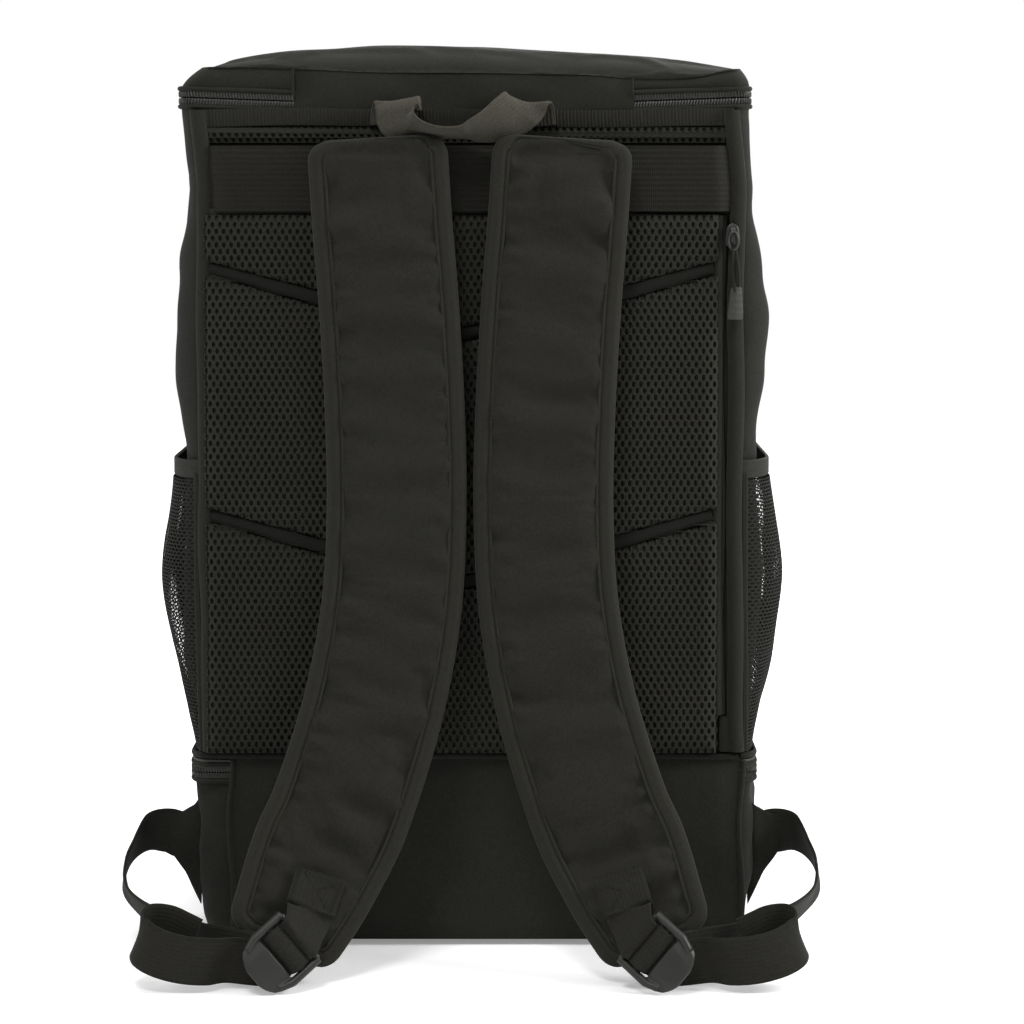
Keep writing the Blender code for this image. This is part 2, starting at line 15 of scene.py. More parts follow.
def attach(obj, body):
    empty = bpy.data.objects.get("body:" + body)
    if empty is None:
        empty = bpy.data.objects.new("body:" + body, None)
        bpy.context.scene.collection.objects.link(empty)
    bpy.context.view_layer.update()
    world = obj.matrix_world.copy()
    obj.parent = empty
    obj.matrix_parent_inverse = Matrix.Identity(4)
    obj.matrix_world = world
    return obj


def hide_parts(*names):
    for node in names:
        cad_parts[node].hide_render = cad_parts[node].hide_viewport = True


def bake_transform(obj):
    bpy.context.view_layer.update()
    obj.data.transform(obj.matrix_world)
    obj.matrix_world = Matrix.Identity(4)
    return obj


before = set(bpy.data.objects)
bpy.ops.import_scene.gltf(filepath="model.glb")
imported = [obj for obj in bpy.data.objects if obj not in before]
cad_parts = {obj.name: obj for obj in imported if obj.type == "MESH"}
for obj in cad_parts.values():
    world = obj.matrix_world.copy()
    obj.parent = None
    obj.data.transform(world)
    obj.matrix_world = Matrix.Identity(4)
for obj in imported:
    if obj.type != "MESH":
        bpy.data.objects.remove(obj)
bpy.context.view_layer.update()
MM = 0.001  # shapes are worked out in millimetres and stored in metres

# %% [markdown]
# ## Camera, floor and light
# The bag is looked at straight on from behind the wearer's side, from a little above, with a long lens.
# A soft light above the camera, one overhead, one behind and one at each side stand for a studio tent. A
# white world fills the rest, so the dark cloth shows its folds by soft gradients, not by hard shadows.

# %% Camera and floor
EYE = np.array([22.5, -1700.0, 430.0])
AIM = EYE + 1600.0 * np.array([0.0, math.cos(math.radians(4.4)), -math.sin(math.radians(4.4))])


def point_at(obj, place, target):
    """Puts obj at place and turns its -Z axis to the target: its Z is the unit step from target to place."""
    back = unit(np.array(place) - np.array(target))
    right = unit(np.cross((0.0, 0.0, 1.0), back))
    turn = np.stack([right, np.cross(back, right), back], 1)
    matrix = np.eye(4)
    matrix[:3, :3] = turn
    matrix[:3, 3] = np.array(place) * MM
    obj.matrix_world = Matrix(matrix.tolist())


def unit(vectors):
    """Each vector divided by its own length."""
    vectors = np.asarray(vectors, float)
    return vectors / np.maximum(np.linalg.norm(vectors, axis=-1, keepdims=True), 1e-12)


lens = bpy.data.cameras.new("camera")
lens.lens, lens.sensor_width, lens.clip_start = 103.8, 36.0, 0.05
lens.shift_y = -0.1145
camera = bpy.data.objects.new("camera", lens)
bpy.context.scene.collection.objects.link(camera)
point_at(camera, EYE, AIM)
bpy.context.scene.camera = camera
bpy.context.scene.view_settings.view_transform = "Standard"


def soft_light(name, place, size, power, colour=(1.0, 1.0, 1.0)):
    """A square area light, size in millimetres, aimed at the middle of the bag."""
    lamp = bpy.data.lights.new(name, "AREA")
    lamp.size, lamp.energy, lamp.color = size * MM, power, colour
    made = bpy.data.objects.new(name, lamp)
    bpy.context.scene.collection.objects.link(made)
    point_at(made, place, (0.0, 0.0, 250.0))
    return made


soft_light("light_over_camera", (-300.0, -1100.0, 1700.0), 450.0, 15.5)
soft_light("light_right", (1300.0, -350.0, 900.0), 600.0, 19.0)
soft_light("light_left", (-1400.0, -300.0, 600.0), 700.0, 5.0)
soft_light("light_above", (0.0, 200.0, 1700.0), 1200.0, 12.0)
soft_light("light_behind", (500.0, 1500.0, 900.0), 900.0, 14.0)

world = bpy.data.worlds.new("studio")
world.use_nodes = True
backdrop = world.node_tree.nodes["Background"]
backdrop.inputs["Color"].default_value = (1.0, 1.0, 1.0, 1.0)
seen = world.node_tree.nodes.new("ShaderNodeLightPath")
strength = world.node_tree.nodes.new("ShaderNodeMapRange")
strength.inputs["To Min"].default_value = 0.42
world.node_tree.links.new(seen.outputs["Is Camera Ray"], strength.inputs["Value"])
world.node_tree.links.new(strength.outputs[0], backdrop.inputs["Strength"])
bpy.context.scene.world = world
print("camera at", EYE, "aims at", AIM)

# %% [markdown]
# ## From numbers to meshes
# Every piece is a set of points, a set of faces, and for each point its place on the flat cloth in
# millimetres, so that a weave follows the sewn shape. Three makers cover almost everything on a bag: a
# slab (a bent panel with an inner side and a rim), a sweep (webbing, binding, piping) and rods (stitches
# and zip teeth, hundreds at a time). Modelling these by hand would work, but numbers keep them exact.

# %% Points and faces into Blender


def outward(points, faces):
    """Turns all faces round when the volume they enclose, the sum of a . (b x c) / 6, is negative."""
    volume = 0.0
    for face in faces:
        for k in range(1, face.shape[1] - 1):
            a, b, c = points[face[:, 0]], points[face[:, k]], points[face[:, k + 1]]
            volume += np.einsum("ij,ij->", a, np.cross(b, c))
    return faces if volume > 0 else [face[:, ::-1] for face in faces]


def joined(*shapes):
    """Several shapes as one: the faces of each are counted on from the points before it."""
    starts = np.cumsum([0] + [len(shape[0]) for shape in shapes])
    faces = [face + start for shape, start in zip(shapes, starts) for face in shape[1]]
    return np.concatenate([s[0] for s in shapes]), faces, np.concatenate([s[2] for s in shapes])


def put_mesh(name, shape, crease=45.0):
    """A mesh object from a shape, smooth but for edges that turn more than crease degrees."""
    points, faces, cloth = shape
    corners = np.concatenate([face.ravel() for face in faces]).astype(np.int32)
    sizes = np.concatenate([np.full(len(face), face.shape[1]) for face in faces])
    mesh = bpy.data.meshes.new(name)
    mesh.vertices.add(len(points))
    mesh.vertices.foreach_set("co", (points * MM).astype(np.float32).ravel())
    mesh.loops.add(len(corners))
    mesh.loops.foreach_set("vertex_index", corners)
    mesh.polygons.add(len(sizes))
    mesh.polygons.foreach_set("loop_start", (np.cumsum(sizes) - sizes).astype(np.int32))
    mesh.polygons.foreach_set("use_smooth", np.ones(len(sizes), bool))
    mesh.update(calc_edges=True)
    layer = mesh.uv_layers.new(name="cloth")
    layer.data.foreach_set("uv", (cloth[corners] * MM).astype(np.float32).ravel())
    mesh.set_sharp_from_angle(angle=math.radians(crease))
    made = bpy.data.objects.new(name, mesh)
    bpy.context.scene.collection.objects.link(made)
    return made


tally = {}
SWAY = np.array([(0, 1.5), (105, 1.5), (200, 0), (420, 0), (458, -3.0), (500, -3.6)])  # height, shift along X


def swayed(points):
    """The soft bag leans: its lid stands a few millimetres left of its back and its base to the right."""
    return points + np.interp(points[:, 2], SWAY[:, 0], SWAY[:, 1])[:, None] * [1, 0, 0]


def piece(name, shape, material, body, slot, *nodes, crease=45.0, smooth=0, sway=True):
    """Makes a piece, gives it its finish, parents it to the body it rides on and hides the CAD nodes it
    stands for.
    A piece that crosses between two bodies rides on none."""
    made = put_mesh(name, (swayed(shape[0]), *shape[1:]) if sway else shape, crease)
    made.data.materials.append(material)
    if smooth:
        finer = made.modifiers.new("Subdivision", "SUBSURF")
        finer.levels = finer.render_levels = smooth
    if body:
        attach(made, body)
    if nodes:
        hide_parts(*nodes)
    tally[name] = sum(len(face) * (face.shape[1] - 2) for face in shape[1]) * 4 ** smooth
    print(f"{name}: {tally[name]} triangles, rides on {body}")
    return made


# %% Slabs, sweeps and rods


def grid_quads(n, m, wrap_n=False, wrap_m=False):
    """The quads of an n by m grid of points, counted row by row; a wrapped side joins its last row to its
    first."""
    i, j = np.meshgrid(np.arange(n if wrap_n else n - 1), np.arange(m if wrap_m else m - 1), indexing="ij")
    k, l = (i + 1) % n, (j + 1) % m
    return np.stack([i * m + j, k * m + j, k * m + l, i * m + l], -1).reshape(-1, 4)


def rim_dense(n, m):
    """Two grids of shares from -1 to 1, closer together towards the rim: sines of an even run of angles."""
    u, v = (np.sin(np.linspace(-1, 1, count) * np.pi / 2) for count in (n, m))
    return np.meshgrid(u, v, indexing="ij")


def run_of(line):
    """Length along a row of points from its first one."""
    return np.concatenate([[0.0], np.cumsum(np.linalg.norm(np.diff(line, axis=0), axis=-1))])


def cloth_of(grid):
    """Flat-cloth coordinates: lengths along the middle row and along the middle column."""
    n, m = grid.shape[:2]
    u, v = run_of(grid[:, m // 2]), run_of(grid[n // 2])
    return np.stack(np.meshgrid(u, v, indexing="ij"), -1).reshape(-1, 2)


def slab(outer, inner):
    """A closed panel: an outer and an inner grid of points, and a strip round the rim between them."""
    n, m = outer.shape[:2]
    index = np.arange(n * m).reshape(n, m)
    rim = np.concatenate([index[:, 0], index[-1, 1:], index[-2::-1, -1], index[0, -2:0:-1]])
    after = np.roll(rim, -1)
    quads = grid_quads(n, m)
    faces = [quads, quads[:, ::-1] + n * m, np.stack([after, rim, rim + n * m, after + n * m], 1)]
    points = np.concatenate([outer.reshape(-1, 3), inner.reshape(-1, 3)])
    return points, outward(points, faces), np.tile(cloth_of(outer), (2, 1))


BAG_MIDDLE = np.array([0.0, 5.0, 250.0])


def normals(grid, away_from=BAG_MIDDLE):
    """Unit normals of a grid: the cross product of its two slopes, turned away from a point."""
    found = unit(np.cross(np.gradient(grid, axis=0), np.gradient(grid, axis=1)))
    return found if ((grid - away_from) * found).sum() > 0 else -found


def panel(grid, thick, away_from=BAG_MIDDLE):
    """A slab whose inner side lies thick behind the outer one along the normals."""
    return slab(grid, grid - normals(grid, away_from) * thick)


def smooth_path(stations, count):
    """Evenly spaced points on a Catmull-Rom curve: each stretch is a cubic whose slope at a station is half
    the step between that station's neighbours. Columns past the third are carried along."""
    given = np.array(stations, float)
    ends = np.vstack([2 * given[0] - given[1], given, 2 * given[-1] - given[-2]])
    t = np.linspace(0, 1, 24, endpoint=False)[:, None, None]
    a, b, c, d = ends[:-3], ends[1:-2], ends[2:-1], ends[3:]
    dense = 0.5 * (2 * b + (c - a) * t + (2 * a - 5 * b + 4 * c - d) * t ** 2
                   + (3 * b - a - 3 * c + d) * t ** 3)
    dense = np.vstack([dense.transpose(1, 0, 2).reshape(-1, given.shape[1]), given[-1]])
    return evenly(dense, count)


def evenly(line, count, ring=False):
    """A line cut into equal steps of its own length."""
    if ring:
        line = np.vstack([line, line[:1]])
    run = run_of(line[:, :3])
    spots = np.linspace(0, run[-1], count, endpoint=not ring)
    return np.stack([np.interp(spots, run, line[:, k]) for k in range(line.shape[1])], 1)


def sweep(path, across, out, profile, ring=False):
    """A profile of (across, out) points carried along a path. Its two ends are closed unless it is a ring."""
    path = np.asarray(path, float)[:, None]
    across, out = (np.broadcast_to(a, (len(path), 3))[:, None] for a in (across, out))
    profile = np.broadcast_to(profile, (len(path),) + np.shape(profile)[-2:])
    points = path + profile[..., :1] * across + profile[..., 1:] * out
    n, k = points.shape[:2]
    faces = [grid_quads(n, k, ring, True)]
    if not ring:
        faces += [np.arange(k)[None, ::-1], np.arange(k)[None] + (n - 1) * k]
    cloth = np.stack(np.meshgrid(run_of(path[:, 0]), run_of(profile[0]), indexing="ij"), -1)[..., ::-1]
    points = points.reshape(-1, 3)
    return points, outward(points, faces), cloth.reshape(-1, 2)


def round_profile(width, height, sides):
    """An ellipse of that width and height."""
    angle = np.linspace(0, 2 * np.pi, sides, endpoint=False)
    return np.stack([np.cos(angle) * width / 2, np.sin(angle) * height / 2], 1)


def tape_profile(width, thick, steps=8):
    """A woven tape's section: two flat sides joined by half-round edges."""
    r = thick / 2
    angle = np.linspace(-np.pi / 2, np.pi / 2, 5)
    edge = np.stack([width / 2 - r + r * np.cos(angle), r * np.sin(angle)], 1)
    flat = np.linspace(width / 2 - r, r - width / 2, steps + 2)[1:-1]
    top = np.stack([flat, np.full(steps, r)], 1)
    return np.concatenate([edge, top, -edge, -top])


def rods(starts, ends, out, wide, high):
    """Many short rods from starts to ends: four five-sided rings each, the outer two at half size."""
    starts, ends, out = (np.asarray(a, float) for a in (starts, ends, out))
    ahead = unit(ends - starts)
    side = unit(np.cross(ahead, out))
    up = np.cross(side, ahead)
    share = np.array([0.0, 0.18, 0.82, 1.0])[None, :, None, None]
    size = np.array([0.45, 1.0, 1.0, 0.45])[None, :, None, None]
    ring = round_profile(wide, high, 5)
    offset = ring[None, None, :, :1] * side[:, None, None] + ring[None, None, :, 1:] * up[:, None, None]
    points = starts[:, None, None] * (1 - share) + ends[:, None, None] * share + size * offset
    count = len(starts)
    first = grid_quads(4, 5, False, True)
    base = (np.arange(count) * 20)[:, None, None]
    cap = np.arange(5)[None]
    faces = [(first[None] + base).reshape(-1, 4), (cap[None, :, ::-1] + base).reshape(-1, 5),
             (cap[None] + 15 + base).reshape(-1, 5)]
    points = points.reshape(-1, 3)
    return points, outward(points, faces), points[:, [0, 2]].copy()


def ripples(a, b, seed, shortest, longest, slant=(0.0, math.pi), waves=20):
    """Soft folds: a sum of sine waves of seeded length, direction and phase, the longer the higher, about 1
    high."""
    draw = np.random.default_rng(seed)
    total = np.zeros(np.broadcast(a, b).shape)
    for length, angle, phase in zip(draw.uniform(shortest, longest, waves), draw.uniform(*slant, waves),
                                    draw.uniform(0, 2 * np.pi, waves)):
        total += length * np.sin(2 * np.pi * (a * math.cos(angle) + b * math.sin(angle)) / length + phase)
    return total / (longest * math.sqrt(waves / 2))


print("sweep sections: a 25 x 1.5 mm tape has", len(tape_profile(25.0, 1.5, 12)), "points round its edge")

# %% [markdown]
# ## Finishes
# All the cloth is charcoal with a faint green-brown cast. What tells one cloth from another is its weave:
# plain canvas on the shell, a ribbed weave on the tapes and webbing, a fuzzy knit on the spacer mesh. An
# image of each weave could be wrapped round the pieces, but nodes stay sharp at any distance. Effects
# that several finishes share are node groups: they are built once and placed with other values.

# %% A bench for wiring nodes


class Bench:
    """Adds nodes to a tree. Wherever a number is asked for, another node's output may be given."""

    def __init__(self, tree):
        self.tree = tree

    def node(self, kind, settings=(), **inputs):
        made = self.tree.nodes.new("ShaderNode" + kind)
        for key, value in dict(settings).items():
            setattr(made, key, value)
        for key, value in inputs.items():
            self.feed(made.inputs[key.replace("_", " ")], value)
        return made

    def feed(self, socket, value):
        if isinstance(value, bpy.types.NodeSocket):
            self.tree.links.new(value, socket)
        else:
            socket.default_value = value

    def calc(self, operation, *values):
        made = self.tree.nodes.new("ShaderNodeMath")
        made.operation = operation
        for socket, value in zip(made.inputs, values):
            self.feed(socket, value)
        return made.outputs[0]

    def blend(self, share, low, high):
        """A colour between two colours."""
        made = self.tree.nodes.new("ShaderNodeMix")
        made.data_type = "RGBA"
        for number, value in ((0, share), (6, low), (7, high)):
            self.feed(made.inputs[number], value)
        return made.outputs[2]

    def remap(self, value, low, high, to_low, to_high):
        """A value's range stretched to another range and kept inside it."""
        made = self.node("MapRange", Value=value)
        for key, number in (("From Min", low), ("From Max", high), ("To Min", to_low), ("To Max", to_high)):
            made.inputs[key].default_value = number
        return made.outputs[0]


def effect(name, inputs, outputs):
    """An empty node group with those inputs (name: (kind, value)) and outputs (name: kind)."""
    tree = bpy.data.node_groups.new(name, "ShaderNodeTree")
    for label, (kind, value) in inputs.items():
        socket = tree.interface.new_socket(label, in_out="INPUT", socket_type="NodeSocket" + kind)
        if value is not None:
            socket.default_value = value
    for label, kind in outputs.items():
        tree.interface.new_socket(label, in_out="OUTPUT", socket_type="NodeSocket" + kind)
    given = tree.nodes.new("NodeGroupInput").outputs
    return tree, Bench(tree), given, tree.nodes.new("NodeGroupOutput").inputs


# %% [markdown]
# ### Weave, ribs, tone and wear
# A plain weave is two sets of threads that take turns on top, so its height is a round thread one way or
# the other, picked by a checker. Ribs are one sine across the tape. Tone is slow and fast noise that keeps
# large areas from looking flat, and wear lightens edges that rub.

# %% Shared effects
weave, b, given, out = effect("plain_weave", {"Cloth": ("Vector", None), "Threads": ("Float", 1800.0)},
                              {"Height": "Float", "Painted gap shade": "Float"})
split = b.node("SeparateXYZ", Vector=given["Cloth"])
warp_at, weft_at = (b.calc("MULTIPLY", split.outputs[k], given["Threads"]) for k in (0, 1))
crossing = b.calc("ADD", b.calc("FLOOR", warp_at), b.calc("FLOOR", weft_at))
over = b.calc("ABSOLUTE", b.calc("MODULO", crossing, 2.0))
warp = b.calc("ABSOLUTE", b.calc("SINE", b.calc("MULTIPLY", warp_at, math.pi)))
weft = b.calc("ABSOLUTE", b.calc("SINE", b.calc("MULTIPLY", weft_at, math.pi)))
height = b.calc("ADD", b.calc("MULTIPLY", warp, over),
                b.calc("MULTIPLY", weft, b.calc("SUBTRACT", 1.0, over)))
b.feed(out["Height"], height)
# This output is high where warp and weft both dip; the cloth finishes darken the colour there as painted
# shade between threads.
b.feed(out["Painted gap shade"], b.calc("MULTIPLY", warp, weft))

ribs, b, given, out = effect("ribbed_tape", {"Cloth": ("Vector", None), "Ribs": ("Float", 500.0),
                                             "Picks": ("Float", 1500.0)}, {"Height": "Float", "Painted gap shade": "Float"})
split = b.node("SeparateXYZ", Vector=given["Cloth"])
waves = []
for along, count in zip(split.outputs, ("Ribs", "Picks")):
    turned = b.calc("MULTIPLY", b.calc("MULTIPLY", along, given[count]), math.pi)
    waves.append(b.calc("ABSOLUTE", b.calc("SINE", turned)))
rib, pick = waves
b.feed(out["Height"], b.calc("ADD", b.calc("MULTIPLY", rib, 0.7), b.calc("MULTIPLY", pick, 0.3)))
# This output follows the rib and pick valleys; the cloth finishes darken the colour there as painted shade.
b.feed(out["Painted gap shade"], b.calc("ADD", b.calc("MULTIPLY", rib, 0.6), b.calc("MULTIPLY", pick, 0.4)))

tone, b, given, out = effect("tone",
                             {"Place": ("Vector", None), "Broad": ("Float", 22.0), "Fine": ("Float", 700.0)},
                             {"Mottle": "Float", "Speck": "Float"})
broad = b.node("TexNoise", Vector=given["Place"], Scale=given["Broad"], Detail=3.0, Roughness=0.55)
fine = b.node("TexNoise", Vector=given["Place"], Scale=given["Fine"], Detail=2.0, Roughness=0.6)
b.feed(out["Mottle"], b.remap(broad.outputs[0], 0.3, 0.7, 0.0, 1.0))
b.feed(out["Speck"], b.remap(fine.outputs[0], 0.3, 0.75, 0.0, 1.0))

fibres, b, given, out = effect("loose_fibres", {"Place": ("Vector", None), "Size": ("Float", 260.0)},
                               {"Mask": "Float"})
spots = b.node("TexNoise", Vector=given["Place"], Scale=given["Size"], Detail=1.0, Distortion=1.6)
b.feed(out["Mask"], b.remap(spots.outputs[0], 0.70, 0.78, 0.0, 1.0))

wear, b, given, out = effect("edge_wear", {"Place": ("Vector", None), "Sharp": ("Float", 0.5)},
                             {"Mask": "Float"})
rub = b.node("TexNoise", Vector=given["Place"], Scale=420.0, Detail=3.0)
edge = b.remap(given["Sharp"], 0.51, 0.60, 0.0, 1.0)
b.feed(out["Mask"], b.calc("MULTIPLY", edge, b.remap(rub.outputs[0], 0.35, 0.65, 0.2, 1.0)))
print("effects:", [g.name for g in bpy.data.node_groups])

# %% [markdown]
# ### Cloth and plastic materials
# The cloth finish reads the flat-cloth coordinates for its weave and Object coordinates for its tone. A
# little sheen gives the soft light rim that brushed polyester has. Its value is set on the shader itself.

# %% Finishes


def start_finish(name, roughness, sheen):
    """A new material and its bench, shader, flat-cloth coordinates and place on the object."""
    made = bpy.data.materials.new(name)
    made.use_nodes = True
    b = Bench(made.node_tree)
    shader = made.node_tree.nodes["Principled BSDF"]
    shader.inputs["Roughness"].default_value = roughness
    shader.inputs["Sheen Weight"].default_value = sheen
    shader.inputs["Sheen Roughness"].default_value = 0.4
    shader.inputs["Specular IOR Level"].default_value = 0.16
    cloth = b.node("UVMap", {"uv_map": "cloth"}).outputs[0]
    place = b.node("TexCoord").outputs["Object"]
    return made, b, shader, cloth, place


def shade(colour, factor):
    """A colour made lighter or darker, as a socket value."""
    return tuple(c * factor for c in colour) + (1.0,)


def cloth_finish(name, colour, group=weave, relief=0.00012, roughness=0.86, sheen=0.05, gap_shade_depth=0.4,
                 **values):
    """Cloth: a weave for the relief and for painted shade in the gaps between threads, mottled by tone, with
    a few pale fibres.
    """
    made, b, shader, cloth, place = start_finish(name, roughness, sheen)
    pattern = b.node("Group", {"node_tree": group}, Cloth=cloth, **values)
    toned = b.node("Group", {"node_tree": tone}, Place=place)
    lint = b.node("Group", {"node_tree": fibres}, Place=place)
    base = b.blend(toned.outputs["Mottle"], shade(colour, 0.76), shade(colour, 1.08))
    # Painted shade: the colour is darkened in the weave's gaps, where the threads dip.
    dark = b.blend(pattern.outputs["Painted gap shade"], shade(colour, 1.0 - gap_shade_depth), base)
    speckled = b.blend(b.calc("MULTIPLY", toned.outputs["Speck"], 0.5), dark, shade(colour, 1.65))
    b.feed(shader.inputs["Base Color"], b.blend(b.calc("MULTIPLY", lint.outputs["Mask"], 0.12), speckled,
                                                 shade(colour, 3.0)))
    b.feed(shader.inputs["Roughness"],
           b.remap(toned.outputs["Mottle"], 0.0, 1.0, roughness - 0.05, roughness + 0.05))
    raised = b.node("Bump", Height=pattern.outputs["Height"], Distance=relief, Strength=0.8)
    b.feed(shader.inputs["Normal"], raised.outputs[0])
    return made


def knit_finish(name, colour, roughness=0.9):
    """Knitted mesh yarn: fine fuzzy noise, with mottling."""
    made, b, shader, cloth, place = start_finish(name, roughness, 0.06)
    toned = b.node("Group", {"node_tree": tone}, Place=place, Fine=1500.0)
    base = b.blend(toned.outputs["Mottle"], shade(colour, 0.85), shade(colour, 1.15))
    b.feed(shader.inputs["Base Color"], b.blend(toned.outputs["Speck"], base, shade(colour, 1.5)))
    b.feed(shader.inputs["Roughness"], b.remap(toned.outputs["Speck"], 0.0, 1.0, roughness - 0.08, roughness))
    raised = b.node("Bump", Height=toned.outputs["Speck"], Distance=0.0001, Strength=0.7)
    b.feed(shader.inputs["Normal"], raised.outputs[0])
    return made


def moulded_finish(name, colour, roughness=0.38, grain=0.00004, metallic=0.0):
    """Moulded plastic or painted metal: fine grain, patchy gloss, and lighter rubbed edges."""
    made, b, shader, cloth, place = start_finish(name, roughness, 0.0)
    shader.inputs["Metallic"].default_value = metallic
    shader.inputs["Specular IOR Level"].default_value = 0.45
    toned = b.node("Group", {"node_tree": tone}, Place=place, Broad=60.0, Fine=2600.0)
    rubbed = b.node("Group", {"node_tree": wear}, Place=place,
                    Sharp=b.node("NewGeometry").outputs["Pointiness"])
    base = b.blend(toned.outputs["Mottle"], shade(colour, 0.9), shade(colour, 1.1))
    b.feed(shader.inputs["Base Color"], b.blend(rubbed.outputs["Mask"], base, shade(colour, 1.4)))
    b.feed(shader.inputs["Roughness"],
           b.remap(toned.outputs["Mottle"], 0.0, 1.0, roughness - 0.06, roughness + 0.08))
    raised = b.node("Bump", Height=toned.outputs["Speck"], Distance=grain, Strength=0.6)
    b.feed(shader.inputs["Normal"], raised.outputs[0])
    return made


canvas = cloth_finish("shell_canvas", (0.0145, 0.0146, 0.0112), Threads=1700.0)
# A lighter copy of the shell canvas for the side panels: its extra lightness is painted light, for the
# stronger light falling on the sides.
side_canvas_painted_light = cloth_finish("side_canvas_painted_light", (0.0170, 0.0182, 0.0146), Threads=1700.0)
strap_canvas = cloth_finish("strap_canvas", (0.0148, 0.0143, 0.0108), Threads=1500.0, relief=0.00016)
lining = cloth_finish("lining_taffeta", (0.030, 0.030, 0.028), Threads=2600.0, relief=0.00006, roughness=0.7)
binding_tape = cloth_finish("binding_tape", (0.0148, 0.0144, 0.0110), ribs, Ribs=620.0, Picks=1400.0)
band_webbing = cloth_finish("band_webbing", (0.0105, 0.0100, 0.0078), ribs, Ribs=900.0, Picks=700.0,
                            relief=0.0002)
webbing_weave = cloth_finish("webbing_weave", (0.0130, 0.0126, 0.0098), ribs, Ribs=460.0, Picks=900.0,
                             relief=0.0002)
handle_weave = cloth_finish("handle_weave", (0.0400, 0.0370, 0.0285), ribs, Ribs=480.0, Picks=1500.0,
                            relief=0.0003, gap_shade_depth=0.4)
elastic = cloth_finish("pocket_elastic", (0.0230, 0.0230, 0.0200), ribs, Ribs=900.0, Picks=1200.0)
thread = cloth_finish("sewing_thread", (0.0130, 0.0128, 0.0105), ribs, Ribs=2000.0, Picks=2000.0)
spacer = knit_finish("spacer_mesh", (0.0135, 0.0132, 0.0102))
# Groove tape: near-black cloth at half the knit's colour; its darkness is painted shade for the pad grooves.
groove_shade_tape = cloth_finish("groove_shade_tape", (0.0068, 0.0068, 0.0052), ribs, Ribs=900.0, Picks=900.0)
net = knit_finish("pocket_net", (0.0120, 0.0120, 0.0100))
coil = moulded_finish("zip_coil", (0.0210, 0.0210, 0.0180), 0.5)
buckle = moulded_finish("buckle_acetal", (0.0105, 0.0105, 0.0085), 0.5)
slider_paint = moulded_finish("slider_paint", (0.0170, 0.0170, 0.0150), 0.4, metallic=0.2)
rubber = moulded_finish("pull_rubber", (0.0190, 0.0190, 0.0160), 0.6)
stiffener = moulded_finish("frame_sheet_plastic", (0.08, 0.08, 0.08), 0.45)
floor_paint = bpy.data.materials.new("floor_paint")
floor_paint.use_nodes = True
b = Bench(floor_paint.node_tree)
paper = b.node("Group", {"node_tree": tone}, Place=b.node("TexCoord").outputs["Object"], Broad=3.0, Fine=90.0)
shader = floor_paint.node_tree.nodes["Principled BSDF"]
shader.inputs["Roughness"].default_value = 0.9
shader.inputs["Emission Color"].default_value = (1.0, 1.0, 1.0, 1.0)
b.feed(shader.inputs["Base Color"],
       b.blend(paper.outputs["Mottle"], (0.90, 0.90, 0.90, 1.0), (0.93, 0.93, 0.93, 1.0)))
away = b.node("VectorMath", {"operation": "LENGTH"},
              Vector=b.node("TexCoord").outputs["Object"]).outputs["Value"]
sight = b.node("LightPath").outputs["Is Camera Ray"]
b.feed(shader.inputs["Emission Strength"], b.calc("MULTIPLY", sight, b.remap(away, 0.25, 0.9, 0.25, 1.0)))
print("finishes:", len(bpy.data.materials))

# %% Floor
FLOOR = 6000.0
corner = np.array([[-1, -1], [1, -1], [1, 1], [-1, 1]]) * FLOOR / 2
floor = put_mesh("floor", (np.column_stack([corner, np.full(4, 0.0)]), [np.array([[0, 1, 2, 3]])], corner))
floor.data.materials.append(floor_paint)
print("floor", FLOOR / 1000, "m square at z 0")

# %% [markdown]
# ## The bag's outline
# All walls follow one plan: a quarter ellipse at each back corner, a straight side, and a quarter ellipse at
# each front corner. The half-width changes with height, because the soft side bulges over the pocket.
# The numbers repeat the CAD's, so the cloth lies where the engineering model has it.

# %% Outline constants, in millimetres
BACK_Y, FRONT_Y = -90.5, 100.0
BACK_SEAM_X, FRONT_SEAM_X = 147.0, 128.0
BACK_ROUND, FRONT_ROUND = 14.0, 30.0
BODY_BOTTOM, BODY_TOP = 108.5, 463.2
LID_ZIP = 468.0
SHOE_ZIP = 97.0
SIDE_PROFILE = np.array([(108, 151.5), (150, 157), (200, 160.5), (250, 158.5), (274, 157.5), (300, 161),
                         (355, 163), (385, 160.5), (400, 154.5), (420, 155), (500, 155.5)])
POCKET_PROFILE = np.array([(109, 154.5), (135, 163.0), (148.5, 166.4), (168, 169.5), (195, 172.5),
                           (214.5, 172.5), (235, 170.5), (255, 166.5), (275, 164.5)])
BASE_PROFILE = np.array([(0, 149), (30, 153), (85, 156), (108, 153)])
ZIP_LEFT, ZIP_RIGHT = -93.0, 91.0


def half_width(profile, z):
    """Smoothed reading of a (height, half-width) table: the mean of five straight-line readings near z."""
    return np.mean([np.interp(z + step, profile[:, 0], profile[:, 1]) for step in (-10, -5, 0, 5, 10)],
                   axis=0)


def wall_plan(t, half, seam_x=BACK_SEAM_X, seam_y=BACK_Y, back_round=BACK_ROUND, front_x=FRONT_SEAM_X,
              front_y=FRONT_Y, front_round=FRONT_ROUND):
    """The right-hand wall in plan, t 0..1 from the back seam to the front seam: quarter ellipse, straight
    stretch, quarter ellipse."""
    turn = 0.3
    back = np.clip(t / turn, 0, 1) * np.pi / 2
    front = np.clip((t - 1 + turn) / turn, 0, 1) * np.pi / 2
    straight = np.clip((t - turn) / (1 - 2 * turn), 0, 1) * (front_y - front_round - seam_y - back_round)
    turned = t > 1 - turn
    x = np.where(turned, front_x + (half - front_x) * np.cos(front), seam_x + (half - seam_x) * np.sin(back))
    y = seam_y + back_round * (1 - np.cos(back)) + straight + np.where(turned, front_round * np.sin(front), 0)
    return x, y


def even_share(count, half, **walls):
    """Values of t that step evenly along the wall."""
    t = np.linspace(0, 1, 400)
    run = run_of(np.stack(wall_plan(t, half, **walls), 1))
    return np.interp(np.linspace(0, run[-1], count), run, t)


